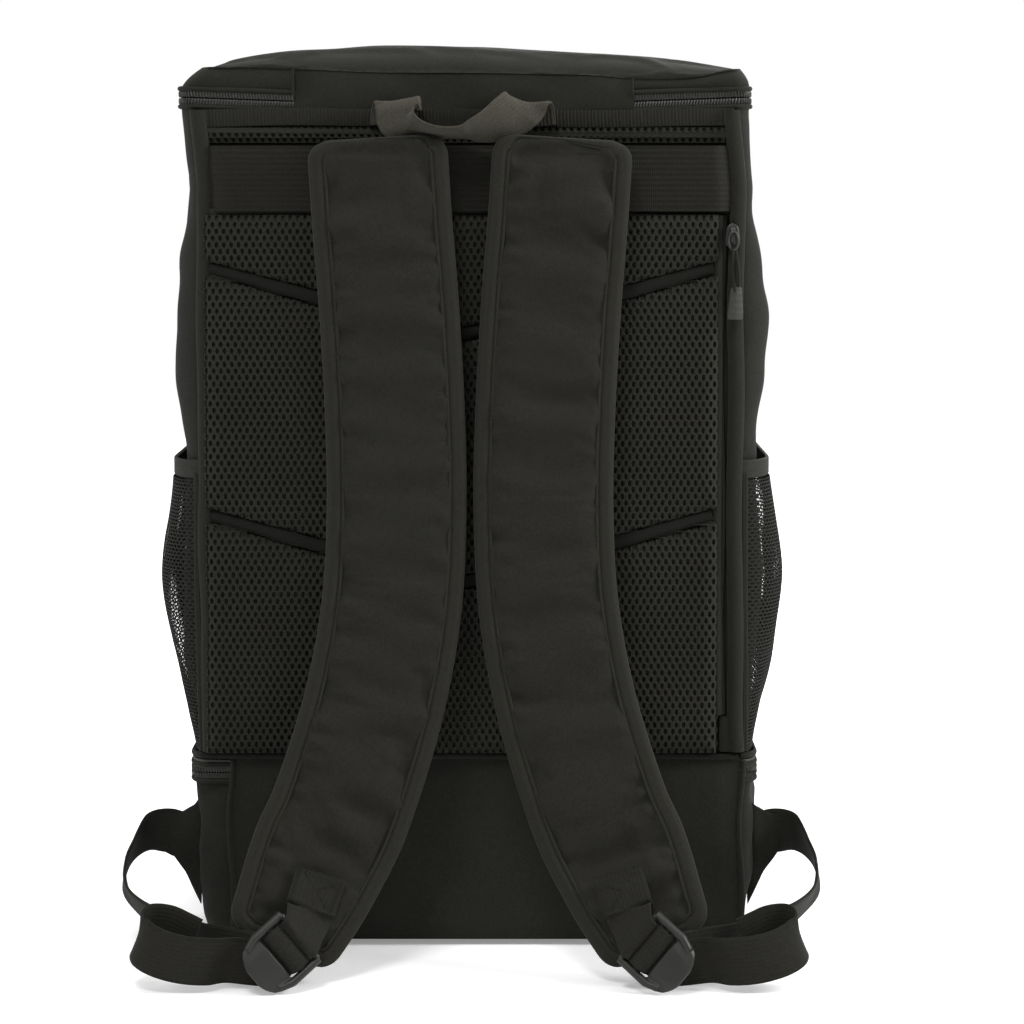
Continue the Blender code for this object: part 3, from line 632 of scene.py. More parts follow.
def side_grid(sign, profile, bottom, top, n, m, out=0.0, **walls):
    """The side wall between two heights as a grid, moved out by a little."""
    z = np.linspace(bottom, top, m)
    t = even_share(n, 155.0, **walls)
    walls = {"seam_y": BACK_Y - out, "front_y": FRONT_Y + out, **walls}
    x, y = wall_plan(t[:, None], half_width(profile, z)[None] + out, **walls)
    return np.stack(np.broadcast_arrays(sign * x, y, z), -1)


def round_plan(left_end, right_end, half, out, count):
    """The plan line from the back's left end round the left side, the front and the right side to the back's
    right end, and its outward direction, square to the line."""
    x, y = wall_plan(np.linspace(0, 1, 80), half + out, seam_y=BACK_Y - out, front_y=FRONT_Y + out)
    left, right = np.stack([-x, y], 1), np.stack([x, y], 1)[::-1]
    line = np.vstack([[left_end, BACK_Y - out], left, right, [right_end, BACK_Y - out]])
    line = evenly(np.column_stack([line, np.zeros(len(line))]), count)
    ahead = unit(np.gradient(line, axis=0))
    return line, np.cross(ahead, (0.0, 0.0, -1.0))


print("half-width at the pocket:", round(float(half_width(POCKET_PROFILE, 195)), 1), "mm")

# %% [markdown]
# ## Side panels
# Each side is one piece of canvas with nothing stiff in it. Between the zip above and the pocket below, it
# slumps into a few long soft folds. A grid on the bag's outline, pushed in and out by slow waves that fade
# towards the sewn edges, gives those folds. A cloth simulation would give much the same for more time.

# %% Side panels
PANEL_N, PANEL_M = 110, 130
for name, sign in (("left", -1), ("right", 1)):
    grid = side_grid(sign, SIDE_PROFILE, BODY_BOTTOM, BODY_TOP, PANEL_N, PANEL_M)
    u, v = np.meshgrid(np.linspace(0, 1, PANEL_N), np.linspace(0, 1, PANEL_M), indexing="ij")
    held = (np.clip(np.minimum(u, 1 - u) / 0.12, 0, 1) * np.clip(np.minimum(v, 1 - v) / 0.05, 0, 1)) ** 0.7
    folds = ripples(u * 190, v * 350, 11 + sign, 60, 150, slant=(0.9, 2.2))
    folds += 0.35 * ripples(u * 190, v * 350, 21 + sign, 18, 45)
    grid += normals(grid) * (held * (2.2 * folds - 0.6))[..., None]
    # The sides take the lighter copy of the canvas, whose extra lightness is painted light.
    piece(name + "_side_cloth", panel(grid, 2.6), side_canvas_painted_light, "bag", "body_fabric", name + "_side_panel")

# %% [markdown]
# ## Open meshes: one tile for pads and nets
# Spacer mesh and pocket net are both holes in staggered rows. One brick-shaped tile with a hole in it, set
# in rows that shift by half a tile, covers any area without gaps: a tile's outline has six points, so it
# matches its neighbours above and below. The pads' holes are blind pits in thick knit, and the net's go
# through. A bump map would be cheaper, but only real holes show the light behind them.

# %% Brick tiling
EIGHT = np.deg2rad(np.arange(8) * 45 - 90)
FAN = [(1, 2, 7, 6), (3, 4, 10, 9), (4, 5, 11, 10), (0, 1, 6, 13)]
FAN_THREE = [(2, 8, 7), (2, 3, 8), (3, 9, 8), (5, 12, 11), (5, 0, 12), (0, 13, 12)]


def bricks(columns, rows):
    """Numbers of each tile's six outline points in a lattice of half-pitch columns, and the tile centres in
    half pitches and rows."""
    r, c = (a.ravel() for a in np.meshgrid(np.arange(rows), np.arange(columns), indexing="ij"))
    k = 2 * c + r % 2
    wide = 2 * columns + 1
    low, high = r * wide + k, (r + 1) * wide + k
    return np.stack([low, low + 1, low + 2, high + 2, high + 1, high], 1), np.stack([k + 1, r + 0.5], 1), wide


def mesh_cloth(place, six, centres, wide, pitch, row, hole, pit):
    """A closed knit from tiles. place(u, v, depth) puts a point of the flat lattice into space; depth None
    is the knit's back. Each tile is a ring between its outline and an eight-point ellipse; with pit 0 the
    hole goes through to the back."""
    used, six = np.unique(six, return_inverse=True)
    six = six.reshape(-1, 6)
    u, v = (used % wide) * pitch / 2, (used // wide) * row
    cu, cv = centres[:, :1] * pitch / 2, centres[:, 1:] * row
    hu, hv = cu + hole[0] / 2 * np.cos(EIGHT), cv + hole[1] / 2 * np.sin(EIGHT)
    count, n, m = len(six), len(used), len(six) * 8
    rim = np.arange(m).reshape(-1, 8) + 2 * n
    deep = rim + m
    ring = np.concatenate([six, rim], 1)
    away = np.roll(six, -1, 1)
    edges = np.stack([six.ravel(), away.ravel()], 1)
    lone = edges[~np.isin(edges[:, 0] * n + edges[:, 1], edges[:, 1] * n + edges[:, 0])]
    walls = np.stack([lone[:, 1], lone[:, 0], lone[:, 0] + n, lone[:, 1] + n], 1)
    hole_walls = np.stack([rim, np.roll(rim, -1, 1), np.roll(deep, -1, 1), deep], -1).reshape(-1, 4)
    faces = [ring[:, list(f)] for f in FAN + FAN_THREE] + [walls, hole_walls]
    flat = [(u, v, 0.0), (u, v, None), (hu.ravel(), hv.ravel(), 0.15),
            ((0.15 * cu + 0.85 * hu).ravel(), (0.15 * cv + 0.85 * hv).ravel(), pit)]
    if pit:
        faces += [deep, six[:, ::-1] + n]
    else:
        ring = np.concatenate([six + n, deep], 1)
        faces += [ring[:, list(f)][:, ::-1] for f in FAN + FAN_THREE]
        flat[3] = (hu.ravel(), hv.ravel(), None)
    points = np.concatenate([place(a, c, d) for a, c, d in flat])
    cloth = np.concatenate([np.stack([a, c], 1) for a, c, d in flat])
    return points, outward(points, faces), cloth


# %% [markdown]
# ## Back pads
# Three foam pads under one knit meet in two V-shaped grooves. Every point of the knit is set back by the
# same depth map: full in the middle of a pad, soft at its rim, and low in the grooves. Which pad a tile
# belongs to is told by the groove lines. The cut between two pads would show the tiles' stepped edges, so a
# soft, near-black tape lies in each groove: it covers the steps, and its darkness is painted shade for the
# groove.

# %% Pads
PITCH, ROW = 4.0, 3.6
PAD_LEFT, PAD_RIGHT, PAD_BOTTOM, PAD_TOP, PAD_THICK = -145.0, 135.0, 109.0, 405.0, 11.0
PAD_MIDDLE, PAD_HALF = (PAD_LEFT + PAD_RIGHT) / 2, (PAD_RIGHT - PAD_LEFT) / 2
GROOVES = [(376.0, 338.0), (241.0, 202.0)]


def groove_height(x, groove):
    """Height of a groove at x: straight from its edge height down to its blunt tip in the middle."""
    edge_z, tip_z = groove
    share = np.sqrt((np.abs(x - PAD_MIDDLE) / PAD_HALF) ** 2 + 0.0016)
    return tip_z + (edge_z - tip_z) * share


def pad_depth(x, z):
    """How far the knit lies under the pads' highest face: rims fall away as 1 - sqrt(1 - (1 - d)^2), and
    grooves are a bell of the fourth power in a wider, shallower one."""
    rim = np.minimum(np.minimum(x - PAD_LEFT, PAD_RIGHT - x), np.minimum(z - PAD_BOTTOM, PAD_TOP - z))
    depth = 5.0 * (1 - np.sqrt(1 - (1 - np.clip(rim / 9.0, 0, 1)) ** 2))
    for groove in GROOVES:
        near = np.abs(z - groove_height(x, groove))
        depth = np.maximum(depth, 8.4 * np.exp(-(near / 3.9) ** 4) + 2.0 * np.exp(-(near / 11.0) ** 2))
    return depth + 0.5 + 0.5 * ripples(x, z, 5, 40, 90)


columns, rows = int((PAD_RIGHT - PAD_LEFT) / PITCH), int((PAD_TOP - PAD_BOTTOM) / ROW)
six, centres, wide = bricks(columns, rows)
PAD_BACK = BACK_Y - 0.4


def on_pads(u, v, depth):
    """The lattice stands on the back panel, its face lowered by the depth map."""
    x, z = u + PAD_LEFT - 0.5, v + PAD_BOTTOM + 0.2
    face = PAD_BACK - PAD_THICK + np.clip(pad_depth(x, z), 0, 10.2)
    y = np.full_like(x, PAD_BACK) if depth is None else np.minimum(face + depth, PAD_BACK - 0.3)
    return np.stack([x, y, z], 1)


tile_x, tile_z = centres[:, 0] * PITCH / 2 + PAD_LEFT, centres[:, 1] * ROW + PAD_BOTTOM
above = [tile_z > groove_height(tile_x, groove) for groove in GROOVES]
for name, mine in (("upper", above[0]), ("middle", ~above[0] & above[1]), ("lower", ~above[1])):
    shape = mesh_cloth(on_pads, six[mine], centres[mine], wide, PITCH, ROW, (2.25, 3.7), 1.8)
    knit = piece("back_pad_" + name + "_knit", shape, spacer, "bag", "spacer_mesh", "back_pad_" + name,
                 crease=60, sway=False)

# A near-black tape in each groove covers the tiles' stepped edges; its darkness is painted shade for the
# groove.
x = np.linspace(PAD_LEFT + 3, PAD_RIGHT - 3, 140)
tapes = []
for groove in GROOVES:
    sunk = 4.4 + 2.2 * np.clip((np.abs(x - PAD_MIDDLE) - 95) / 40, 0, 1)
    z = groove_height(x, groove) + 0.4 + 0.5 * ripples(x, 0 * x, 6, 20, 60)
    line = np.stack([x, PAD_BACK - PAD_THICK + sunk, z], 1)
    square = np.cross(unit(np.gradient(line, axis=0)), (0, 1.0, 0))
    tapes.append(sweep(line, square, (0, -1.0, 0), round_profile(6.6, 4.4, 12)))
piece("pad_groove_shade_tape", joined(*tapes), groove_shade_tape, "bag", "spacer_mesh", sway=False)

strip_six, strip_centres, strip_wide = bricks(72, 3)


def on_strip(u, v, depth):
    """A narrow flat strip of the same knit between the trolley band and the seam tape."""
    face = PAD_BACK - 2.4 + 0.8 * ((v - 5.4) / 5.4) ** 2
    y = np.full_like(u, PAD_BACK - 0.1) if depth is None else face + depth
    return np.stack([u - 144.8, y, v * 0.76 + 443.5], 1)


shape = mesh_cloth(on_strip, strip_six, strip_centres, strip_wide, PITCH, ROW, (2.5, 3.9), 1.5)
piece("top_knit_strip", shape, spacer, "bag", "spacer_mesh", "top_mesh_strip", crease=60)

# %% [markdown]
# ## Net pockets
# The side pockets are warp-knit net: thin yarn, small holes, white studio light showing through at the
# edges. The same tile wraps the pocket's own outline. A round elastic binding gathers the mouth.

# %% Pocket nets
NET_PITCH, NET_ROW, NET_THICK = 2.75, 2.0, 0.4
POCKET_WALLS = dict(seam_x=148.6, seam_y=BACK_Y - 2.6, back_round=32.0, front_y=68.0, front_round=28.0)


def pocket_point(sign, s, z):
    """A point of the pocket's face: s runs along its plan line, and the front end lies on the side panel."""
    t = np.linspace(0, 1, 400)
    walls = dict(POCKET_WALLS, front_x=155.5)
    run = run_of(np.stack(wall_plan(t, 164.0, **walls), 1))
    walls["front_x"] = half_width(SIDE_PROFILE, z) + 2.4
    x, y = wall_plan(np.interp(s * run[-1], run, t), half_width(POCKET_PROFILE, z), **walls)
    return np.stack([sign * x, y, z + 0 * x], -1), run[-1]


pocket_length = pocket_point(1, np.array([0.0]), np.array([200.0]))[1]
net_columns, net_rows = int(pocket_length / NET_PITCH), int(151 / NET_ROW)
net_six, net_centres, net_wide = bricks(net_columns, net_rows)
for name, sign in (("left", -1), ("right", 1)):
    def on_pocket(u, v, depth):
        """The lattice wrapped round the pocket, sagging in slow waves, its back NET_THICK behind."""
        depth = NET_THICK if depth is None else depth
        s, z = u / ((net_columns + 0.5) * NET_PITCH), 109.3 + v
        here = pocket_point(sign, s, z)[0]
        along = pocket_point(sign, s + 0.002, z)[0] - pocket_point(sign, s - 0.002, z)[0]
        up = pocket_point(sign, s, z + 0.5)[0] - pocket_point(sign, s, z - 0.5)[0]
        off = unit(np.cross(along, up))
        off *= np.sign((off * (here - BAG_MIDDLE)).sum(1, keepdims=True))
        held = np.clip(np.minimum(s, 1 - s) / 0.15, 0, 1)
        held = held * np.clip((260 - z) / 25, 0, 1) * np.clip((z - 109) / 25, 0, 1)
        sag = held * (1.5 * ripples(u, v, 31 + sign, 40, 110) - 0.4)
        return here + off * (sag - depth)[:, None]

    shape = mesh_cloth(on_pocket, net_six, net_centres, net_wide, NET_PITCH, NET_ROW, (2.3, 1.6), 0)
    piece(name + "_pocket_net", shape, net, "bag", "pocket_net", name + "_mesh_pocket", crease=60)
    s = np.linspace(0, 1, 150)
    line = pocket_point(sign, s, np.full(150, 265.5))[0]
    across = unit(np.gradient(line, axis=0))
    off = unit(np.cross(across, (0, 0, 1.0))) * -sign
    off *= np.sign((off * (line - BAG_MIDDLE)).sum(1, keepdims=True))
    rib = tape_profile(10.0, 1.9, 24)
    rib[:, 1] *= 1 + 0.10 * np.cos(rib[:, 0] * 2 * np.pi / 1.25)
    shape = sweep(line - off * 0.9, (0, 0, 1.0), off, rib)
    piece(name + "_pocket_binding", shape, elastic, "bag", "binding_elastic", name + "_pocket_elastic")

# %% Pocket edge seams and side piping
for name, sign in (("left", -1), ("right", 1)):
    z = np.linspace(109.5, 263, 60)
    front = pocket_point(sign, np.full(60, 0.995), z)[0] + np.array([sign * 0.2, 0.0, 0.0])
    back_edge = pocket_point(sign, np.full(60, 0.004), z)[0] + np.array([sign * 0.5, 0.0, 0.0])
    front_tape = sweep(front, (0, 1.0, 0), (sign, 0, 0), tape_profile(6, 1.4, 4))
    back_tape = sweep(back_edge, (1.0, 0, 0), (0, -1.0, 0), tape_profile(3.4, 1.6, 4))
    piece(name + "_pocket_seam", joined(front_tape, back_tape), binding_tape, "bag", "binding_elastic")
    z = np.linspace(BODY_BOTTOM + 1, BODY_TOP - 2, 160)
    line = np.stack([np.full(160, sign * 144.7), np.full(160, BACK_Y - 3.0), z], 1)
    line[:, 0] += 0.7 * ripples(z, 0 * z, 41 + sign, 40, 120)
    shape = sweep(line, (1.0, 0, 0), (0, -1.0, 0), round_profile(8.8, 7.6, 14))
    piece(name + "_back_piping", shape, canvas, "bag", "body_fabric")

# %% [markdown]
# ## Back panel, seam tape and trolley band
# Behind the pads is a plain skin. A ribbed tape covers the seam above, and a wide ribbed webbing band is
# sewn down at both ends only, so that the bag slips over a suitcase handle. Ribs are real ridges here: a
# sine across the tape, because their rows of light and shadow show even from far off.

# %% Skin, tape and band


def upright(low_x, high_x, low_z, high_z, n, m, y):
    """A grid facing the wearer between two corners, at y(x, z)."""
    x, z = np.meshgrid(np.linspace(low_x, high_x, n), np.linspace(low_z, high_z, m), indexing="ij")
    return np.stack([x, y(x, z), z], -1)


skin = upright(-145.4, 145.4, 109, 461.4, 60, 80, lambda x, z: BACK_Y + 0.15 * ripples(x, z, 3, 40, 90))
piece("back_skin", panel(skin, 1.4), canvas, "bag", "body_fabric", "back_panel")

tape = upright(-146, 146, 452.2, 461.6, 520, 12,
               lambda x, z: PAD_BACK - 1.9 - 0.22 * np.sin(x * 2 * np.pi / 1.9)
               - 0.5 * np.sqrt(np.clip(1 - ((z - 456.9) / 4.9) ** 2, 0, 1)))
tape[..., 2] += 0.5 * ripples(tape[..., 0], 0 * tape[..., 0], 6, 60, 160)
piece("ribbed_seam_tape", panel(tape, 1.8), binding_tape, "bag", "seam_tape", "seam_tape")


def band_face(x, z):
    """The band bows over the pads' upper edge and sits low at its sewn ends, with a rib every 2.9 mm."""
    end = np.clip((145.0 - np.abs(x)) / 12.0, 0, 1)
    lift = 93.2 + 7.6 * end * end * (3 - 2 * end)
    rib = 0.16 * np.sin(z * 2 * np.pi / 2.9)
    return -(lift + rib - 0.7 * ((z - 424) / 18.0) ** 4 + 0.4 * ripples(x, z, 7, 50, 120))


band = upright(-145.4, 145.4, 406.3, 441.8, 150, 100, band_face)
piece("trolley_band", panel(band, 1.5), band_webbing, "bag", "webbing", "luggage_band")

# %% [markdown]
# ## Coil zips
# A coil zip is two rows of small plastic loops on two tapes. From outside only short slanted bars show,
# so each tooth is one rod. The rows lean towards each other like the twist of the coil. Rows are made as
# whole arrays along the zip's line, because a bag this size has more than two thousand teeth.

# %% Zip rows
LEAN = 0.45  # how far a tooth's outer end runs ahead of its inner end, as a share of the pitch


def tooth_row(line, up, out, pitch, inner, outer, lift):
    """Teeth every pitch along a line: rods from inner to outer along up, raised by lift along out."""
    count = int(run_of(line)[-1] / pitch)
    guides = [np.broadcast_to(a, line.shape) for a in (up, out)]
    both = evenly(np.column_stack([line, *guides]), count)
    place, up, out = both[:, :3], both[:, 3:6], both[:, 6:9]
    ahead = unit(np.gradient(place, axis=0))
    starts = place + up * inner + out * lift
    ends = place + up * outer + out * lift + ahead * pitch * LEAN
    return rods(starts, ends, out, pitch * 0.66, 1.5)


def zip_half(line, up, out, pitch, tape_low, tape_high, reach, thick=1.0):
    """One half of a zip: its woven tape from tape_low to tape_high along up, and its row of teeth."""
    up, out = np.broadcast_to(up, line.shape), np.broadcast_to(out, line.shape)
    side = 1.0 if tape_high > 0 else -1.0
    section = tape_profile(abs(tape_high - tape_low), thick, 6)
    tape = sweep(line + up * (tape_low + tape_high) / 2 - out * thick / 2, up, out, section)
    return joined(tape, tooth_row(line, up, out, pitch, side * 0.25, side * reach, 0.45))


BACK_ZIP_X, BACK_ZIP_BOTTOM, BACK_ZIP_TOP = 142.0, 129.5, 405.0
z = np.linspace(BACK_ZIP_TOP - 1, BACK_ZIP_BOTTOM + 0.5, 60)
line = np.stack([BACK_ZIP_X + 0.5 * ripples(z, 0 * z, 8, 60, 140), np.full(60, PAD_BACK - 2.4), z], 1)
halves = [zip_half(line, (side, 0, 0), (0, -1.0, 0), 1.25, side * 0.3, side * 4.5, 2.3, 1.6)
          for side in (-1.0, 1.0)]
piece("back_zip_rows", joined(*halves), coil, "bag", "zip_tape", "back_zip")
folds = []
for x, depth, tape in ((line[:, 0] - 4.6, 2.0, tape_profile(2.6, 3.0, 4)),
                       (line[:, 0] + 3.6, 2.0, tape_profile(1.6, 3.0, 4)),
                       (np.full(60, 134.4), 3.2, tape_profile(5.6, 5.0, 6))):
    edge = np.stack([x, np.full(60, PAD_BACK - depth), z], 1)
    folds.append(sweep(edge, (1.0, 0, 0), (0, -1.0, 0), tape))
piece("back_zip_folds", joined(*folds), canvas, "bag", "body_fabric")
patch = upright(135.6, 145.9, 109.3, 129.0, 16, 26,
                lambda x, z: PAD_BACK - 4.3 + 0.8 * ((x - 140.7) / 5.1) ** 4 + 0.8 * ((z - 119) / 10) ** 6)
piece("back_zip_end_patch", slab(patch, patch * [1, 0, 1] + [0, PAD_BACK - 0.2, 0]), canvas, "bag",
      "body_fabric", "back_zip_garage")

# %% [markdown]
# ## Lid
# The lid is a stiff-edged cap: a low wall on top of the upper zip tape, and a padded dome that rolls over
# its own seam. Seen from behind, the roll's upper line rises to the left of the middle and falls to the
# right, and the seam dips under it. Both lines are given as tables and read smoothly. The wall leans in
# towards the dome at the corners, as it does on the soft bag.

# %% Lid zip and lid wall
LID_HALF = 155.5
lid_line, lid_out = round_plan(ZIP_LEFT, ZIP_RIGHT, LID_HALF, 0.2, 520)
UP = np.array([0.0, 0.0, 1.0])


def droop(line):
    """On the back the zip's ends sag by about 2 mm, fading out round the corners."""
    share = np.clip(-(line[:, 1] + 60.0) / 30.0, 0, 1) * np.clip((152 - np.abs(line[:, 0])) / 60.0, 0, 1)
    return np.column_stack([np.zeros((len(line), 2)), -2.2 * share])


zip_line = lid_line + [0, 0, LID_ZIP] + droop(lid_line)
upper = zip_half(zip_line - lid_out * 0.2, UP, lid_out, 1.6, 0.3, 5.8, 3.5)
piece("lid_zip_upper_row", upper, coil, "lid", "zip_tape", "lid_zip_upper")
lower = zip_half(zip_line - lid_out * 0.2, UP, lid_out, 1.6, -0.3, -5.6, 3.5)
piece("lid_zip_lower_row", lower, coil, "bag", "zip_tape", "lid_zip_lower")
fold_up = sweep(zip_line + UP * 4.9 + lid_out * 0.4, UP, lid_out, round_profile(2.6, 2.2, 8))
piece("lid_zip_fold_upper", fold_up, canvas, "lid", "body_fabric")
fold_low = sweep(zip_line - UP * 4.8 + lid_out * 0.4, UP, lid_out, round_profile(2.6, 2.2, 8))
piece("lid_zip_fold_lower", fold_low, canvas, "bag", "body_fabric")

depth_middle = (FRONT_Y + BACK_Y) / 2
RIM_LINE = np.array([(-146, 483.6), (-119, 484.6), (-92, 483.4), (-50, 481.4), (0, 481.2), (67, 480.2),
                     (90, 478.0), (122, 477.8), (141, 482.6), (146, 483.2)])
CROWN_LINE = np.array([(-150, 484.5), (-143, 485.6), (-121, 490.2), (-94, 493.0), (-50, 495.6), (5, 495.2),
                       (71, 491.8), (126, 488.2), (145, 485.2), (150, 484.5)])


def read_line(table, x, spread=9.0):
    """A table read as the mean of seven straight-line readings near x, so that its corners are soft."""
    return np.mean([np.interp(x + step * spread / 3, table[:, 0], table[:, 1]) for step in range(-3, 4)],
                   axis=0)


def rim_height(x, y):
    """The dome's seam: the table's line at the back, level at the front, blended along the depth."""
    back = np.clip((-y - 20) / 60, 0, 1)
    return 484.0 + (read_line(RIM_LINE, x) - 484.0) * back * back * (3 - 2 * back)


share = np.linspace(0, 1, 10)
wall_low = lid_line + [0, 0, 472.4]
side_x = np.abs(lid_line[:, 0])
lean = np.where(lid_line[:, 0] > 0, 0.90, 0.76)  # the right corner stands up straighter than the left
inset_x = np.sign(lid_line[:, 0]) * (np.minimum(side_x, 105) + np.maximum(side_x - 105, 0) * lean)
inset = np.column_stack([inset_x, depth_middle + (lid_line[:, 1] - depth_middle) * 0.986])
rounder = (1 + 1.6 * np.clip((side_x - 120) / 30, 0, 1))[:, None, None]
wall_high = np.column_stack([inset[:, :2], rim_height(inset[:, 0], inset[:, 1]) + 0.6])
wall = wall_low[:, None] * (1 - share[:, None]) + wall_high[:, None] * share[:, None]
bulge = np.sin(share * np.pi)[None, :, None] * lid_out[:, None] * 1.3 * rounder
uneven = ripples(np.arange(520) * 1.6, 0 * np.arange(520), 51, 40, 120)[:, None, None]
wall = wall + bulge * (1 + 0.5 * uneven)
piece("lid_wall", panel(wall, 2.2), canvas, "lid", "body_fabric", "lid_gusset")

back_wall = upright(ZIP_LEFT - 0.8, ZIP_RIGHT + 0.8, 0, 1, 110, 40, lambda x, z: 0 * x)
x, s = back_wall[..., 0], back_wall[..., 2]
z = 460.8 + s * (read_line(RIM_LINE, x) + 0.6 - 460.8)
sag = 0.7 + 1.1 * ripples(x, z, 53, 30, 80, slant=(-0.5, 0.7))
y = BACK_Y - 1.1 + s * 1.4 - sag * np.sin(s * np.pi) ** 0.8
hinge_cloth = piece("lid_back_cloth", panel(np.stack([x, y, z], -1), 1.3), canvas, None, "body_fabric",
                    "lid_hinge_panel")
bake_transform(hinge_cloth)

# %% [markdown]
# ### The padded dome
# The dome is foam between two cloths. It starts as a smooth shell over the bag's plan and is then swelled by
# Blender's Cloth: a little air pressure, rim held, no gravity, twenty frames, and every point kept within a
# few millimetres of its start, so that it stays in its CAD space. The swelling gives the loose look that
# a formula alone lacks.

# %% Swelling with Cloth


def swell(name, shape, held, pressure, spare, reach):
    """Runs Cloth on a shape for twenty frames: held points stay, the cloth is cut larger by the share spare,
    and no point moves farther than reach. Gives back the shape with its new points."""
    form = put_mesh(name + "_form", shape)
    group = form.vertex_groups.new(name="held")
    group.add(np.flatnonzero(held).tolist(), 1.0, "REPLACE")
    cloth = form.modifiers.new("Cloth", "CLOTH")
    cloth.settings.quality = 5
    cloth.settings.mass = 0.15
    cloth.settings.use_pressure = True
    cloth.settings.uniform_pressure_force = pressure
    cloth.settings.effector_weights.gravity = 0.0
    cloth.settings.shrink_min = -spare
    cloth.settings.vertex_group_mass = "held"
    cloth.settings.bending_stiffness = 0.4
    cloth.point_cache.frame_start, cloth.point_cache.frame_end = 1, 20
    scene = bpy.context.scene
    for frame_number in range(1, 21):
        scene.frame_set(frame_number)
    result = form.evaluated_get(bpy.context.evaluated_depsgraph_get()).to_mesh()
    moved = np.empty(len(shape[0]) * 3, np.float32)
    result.vertices.foreach_get("co", moved)
    form.evaluated_get(bpy.context.evaluated_depsgraph_get()).to_mesh_clear()
    step = moved.reshape(-1, 3) / MM - shape[0]
    length = np.linalg.norm(step, axis=1, keepdims=True)
    step *= np.minimum(1.0, reach / np.maximum(length, 1e-6))
    bpy.data.objects.remove(form)
    scene.frame_set(1)
    print(f"{name}: cloth moved {length.mean():.2f} mm on average, {length.max():.2f} mm at most")
    return shape[0] + np.nan_to_num(step), shape[1], shape[2]


# %% Dome
DOME_N, DOME_M = 120, 80
u, v = rim_dense(DOME_N, DOME_M)
depth_half = (FRONT_Y - BACK_Y) / 2 - 0.4
corner_x = np.where(v > 0, 21.6, 7.5)
corner_y = np.where(v > 0, FRONT_ROUND, 15.0)
past = np.clip((np.abs(v) * depth_half - depth_half + corner_y) / corner_y, 0, 1)
dome_half = np.where(u > 0, 150.8, 143.6) - corner_x * (1 - np.sqrt(1 - past ** 2))
x, y = u * dome_half, depth_middle + v * depth_half - 1.1 * np.clip(-v, 0, 1) ** 8
roll = np.sqrt(np.clip(1 - np.abs(v) ** 9, 0, 1)) * np.sqrt(np.clip(1 - np.abs(u) ** 12, 0, 1))
rim = rim_height(x, y)
z = rim + roll * (read_line(CROWN_LINE, x) - rim)
edge = np.clip(roll * 1.6, 0, 1)
z += 1.5 * edge * (1 - 0.6 * edge) * ripples(x, y, 55, 35, 100)
top = np.stack([x, y, z], -1)
under = np.stack([x * 0.985, y * 0.98, np.maximum(rim - 1.2, z - 4.5)], -1)
dome = slab(top, under)
on_rim = np.zeros((DOME_N, DOME_M), bool)
on_rim[[0, -1]] = on_rim[:, [0, -1]] = True
dome = swell("lid_dome", dome, np.tile(on_rim.ravel(), 2), 1.2, 0.015, 1.2)
dome_piece = piece("lid_dome_cloth", dome, canvas, "lid", "body_fabric", "lid_top", crease=70)

# %% Vertical seams of the lid wall
end_seams = []
for x_at in (ZIP_LEFT, ZIP_RIGHT):
    high = float(read_line(RIM_LINE, np.array(x_at)))
    z = np.linspace(469.0, high, 16)
    line = np.stack([np.full(16, x_at), np.full(16, BACK_Y - 2.1), z], 1)
    end_seams.append(sweep(line, (1.0, 0, 0), (0, -1.0, 0), round_profile(1.6, 1.0, 8)))
piece("lid_end_seams", joined(*end_seams), canvas, "lid", "body_fabric")

# %% [markdown]
# ## Shoe compartment
# Below the back pads is a box of plain canvas with a zip round three sides, whose two ends show at the back
# corners. The back and the sides are loose cloth that hangs from the zip, so they get slow folds and the
# lower edge swings in a shallow curve. The front of it is a door that folds down.

# %% Base walls
SEAM_LEFT, SEAM_RIGHT = -134.0, 147.0


def base_face(x, z):
    """Back cloth of the base: flat at its seams, with slow folds between them."""
    held = np.clip(np.minimum(x + 134, 147 - x) / 12, 0, 1) * np.clip(np.minimum(z - 3, 105 - z) / 10, 0, 1)
    folds = ripples(x, z, 61, 50, 150, slant=(0.2, 1.2)) + 0.3 * ripples(x, z, 62, 15, 40)
    return BACK_Y - 1.6 + held * (1.1 * folds - 0.6)


grid = upright(-134.4, 147.4, 4.0, 107.0, 140, 60, base_face)
grid[..., 2] = 4.0 + (grid[..., 2] - 4.0) * (103.0 - 1.2 * (grid[..., 0] / 140) ** 2) / 103.0
grid[..., 2] += np.clip((40 - grid[..., 2]) / 40, 0, 1) * 1.5 * (grid[..., 0] / 140) ** 2
grid[..., 1] += 2.4 * np.clip((12 - grid[..., 2]) / 12, 0, 1) ** 2
piece("base_back_cloth", panel(grid, 1.8), canvas, "bag", "body_fabric", "base_back")
for name, sign, seam in (("left", -1, -SEAM_LEFT), ("right", 1, SEAM_RIGHT)):
    grid = side_grid(sign, BASE_PROFILE, 3.6, 93.8, 100, 40, seam_x=seam)
    u, v = np.meshgrid(np.linspace(0, 1, 100), np.linspace(0, 1, 40), indexing="ij")
    held = np.clip(np.minimum(u, 1 - u) / 0.08, 0, 1) * np.clip(np.minimum(v, 1 - v) / 0.12, 0, 1)
    folds = ripples(u * 200, v * 90, 63 + sign, 40, 110) + 0.35 * ripples(u * 200, v * 90, 66 + sign, 14, 35)
    tucked = 1.5 * np.clip(0.12 - v, 0, 1) / 0.12 * (u > 0.02)
    grid += normals(grid) * (held * (1.6 * folds - 0.6) - tucked)[..., None]
    piece(f"base_{name}_cloth", panel(grid, 2.2), canvas, "bag", "body_fabric", "base_" + name)

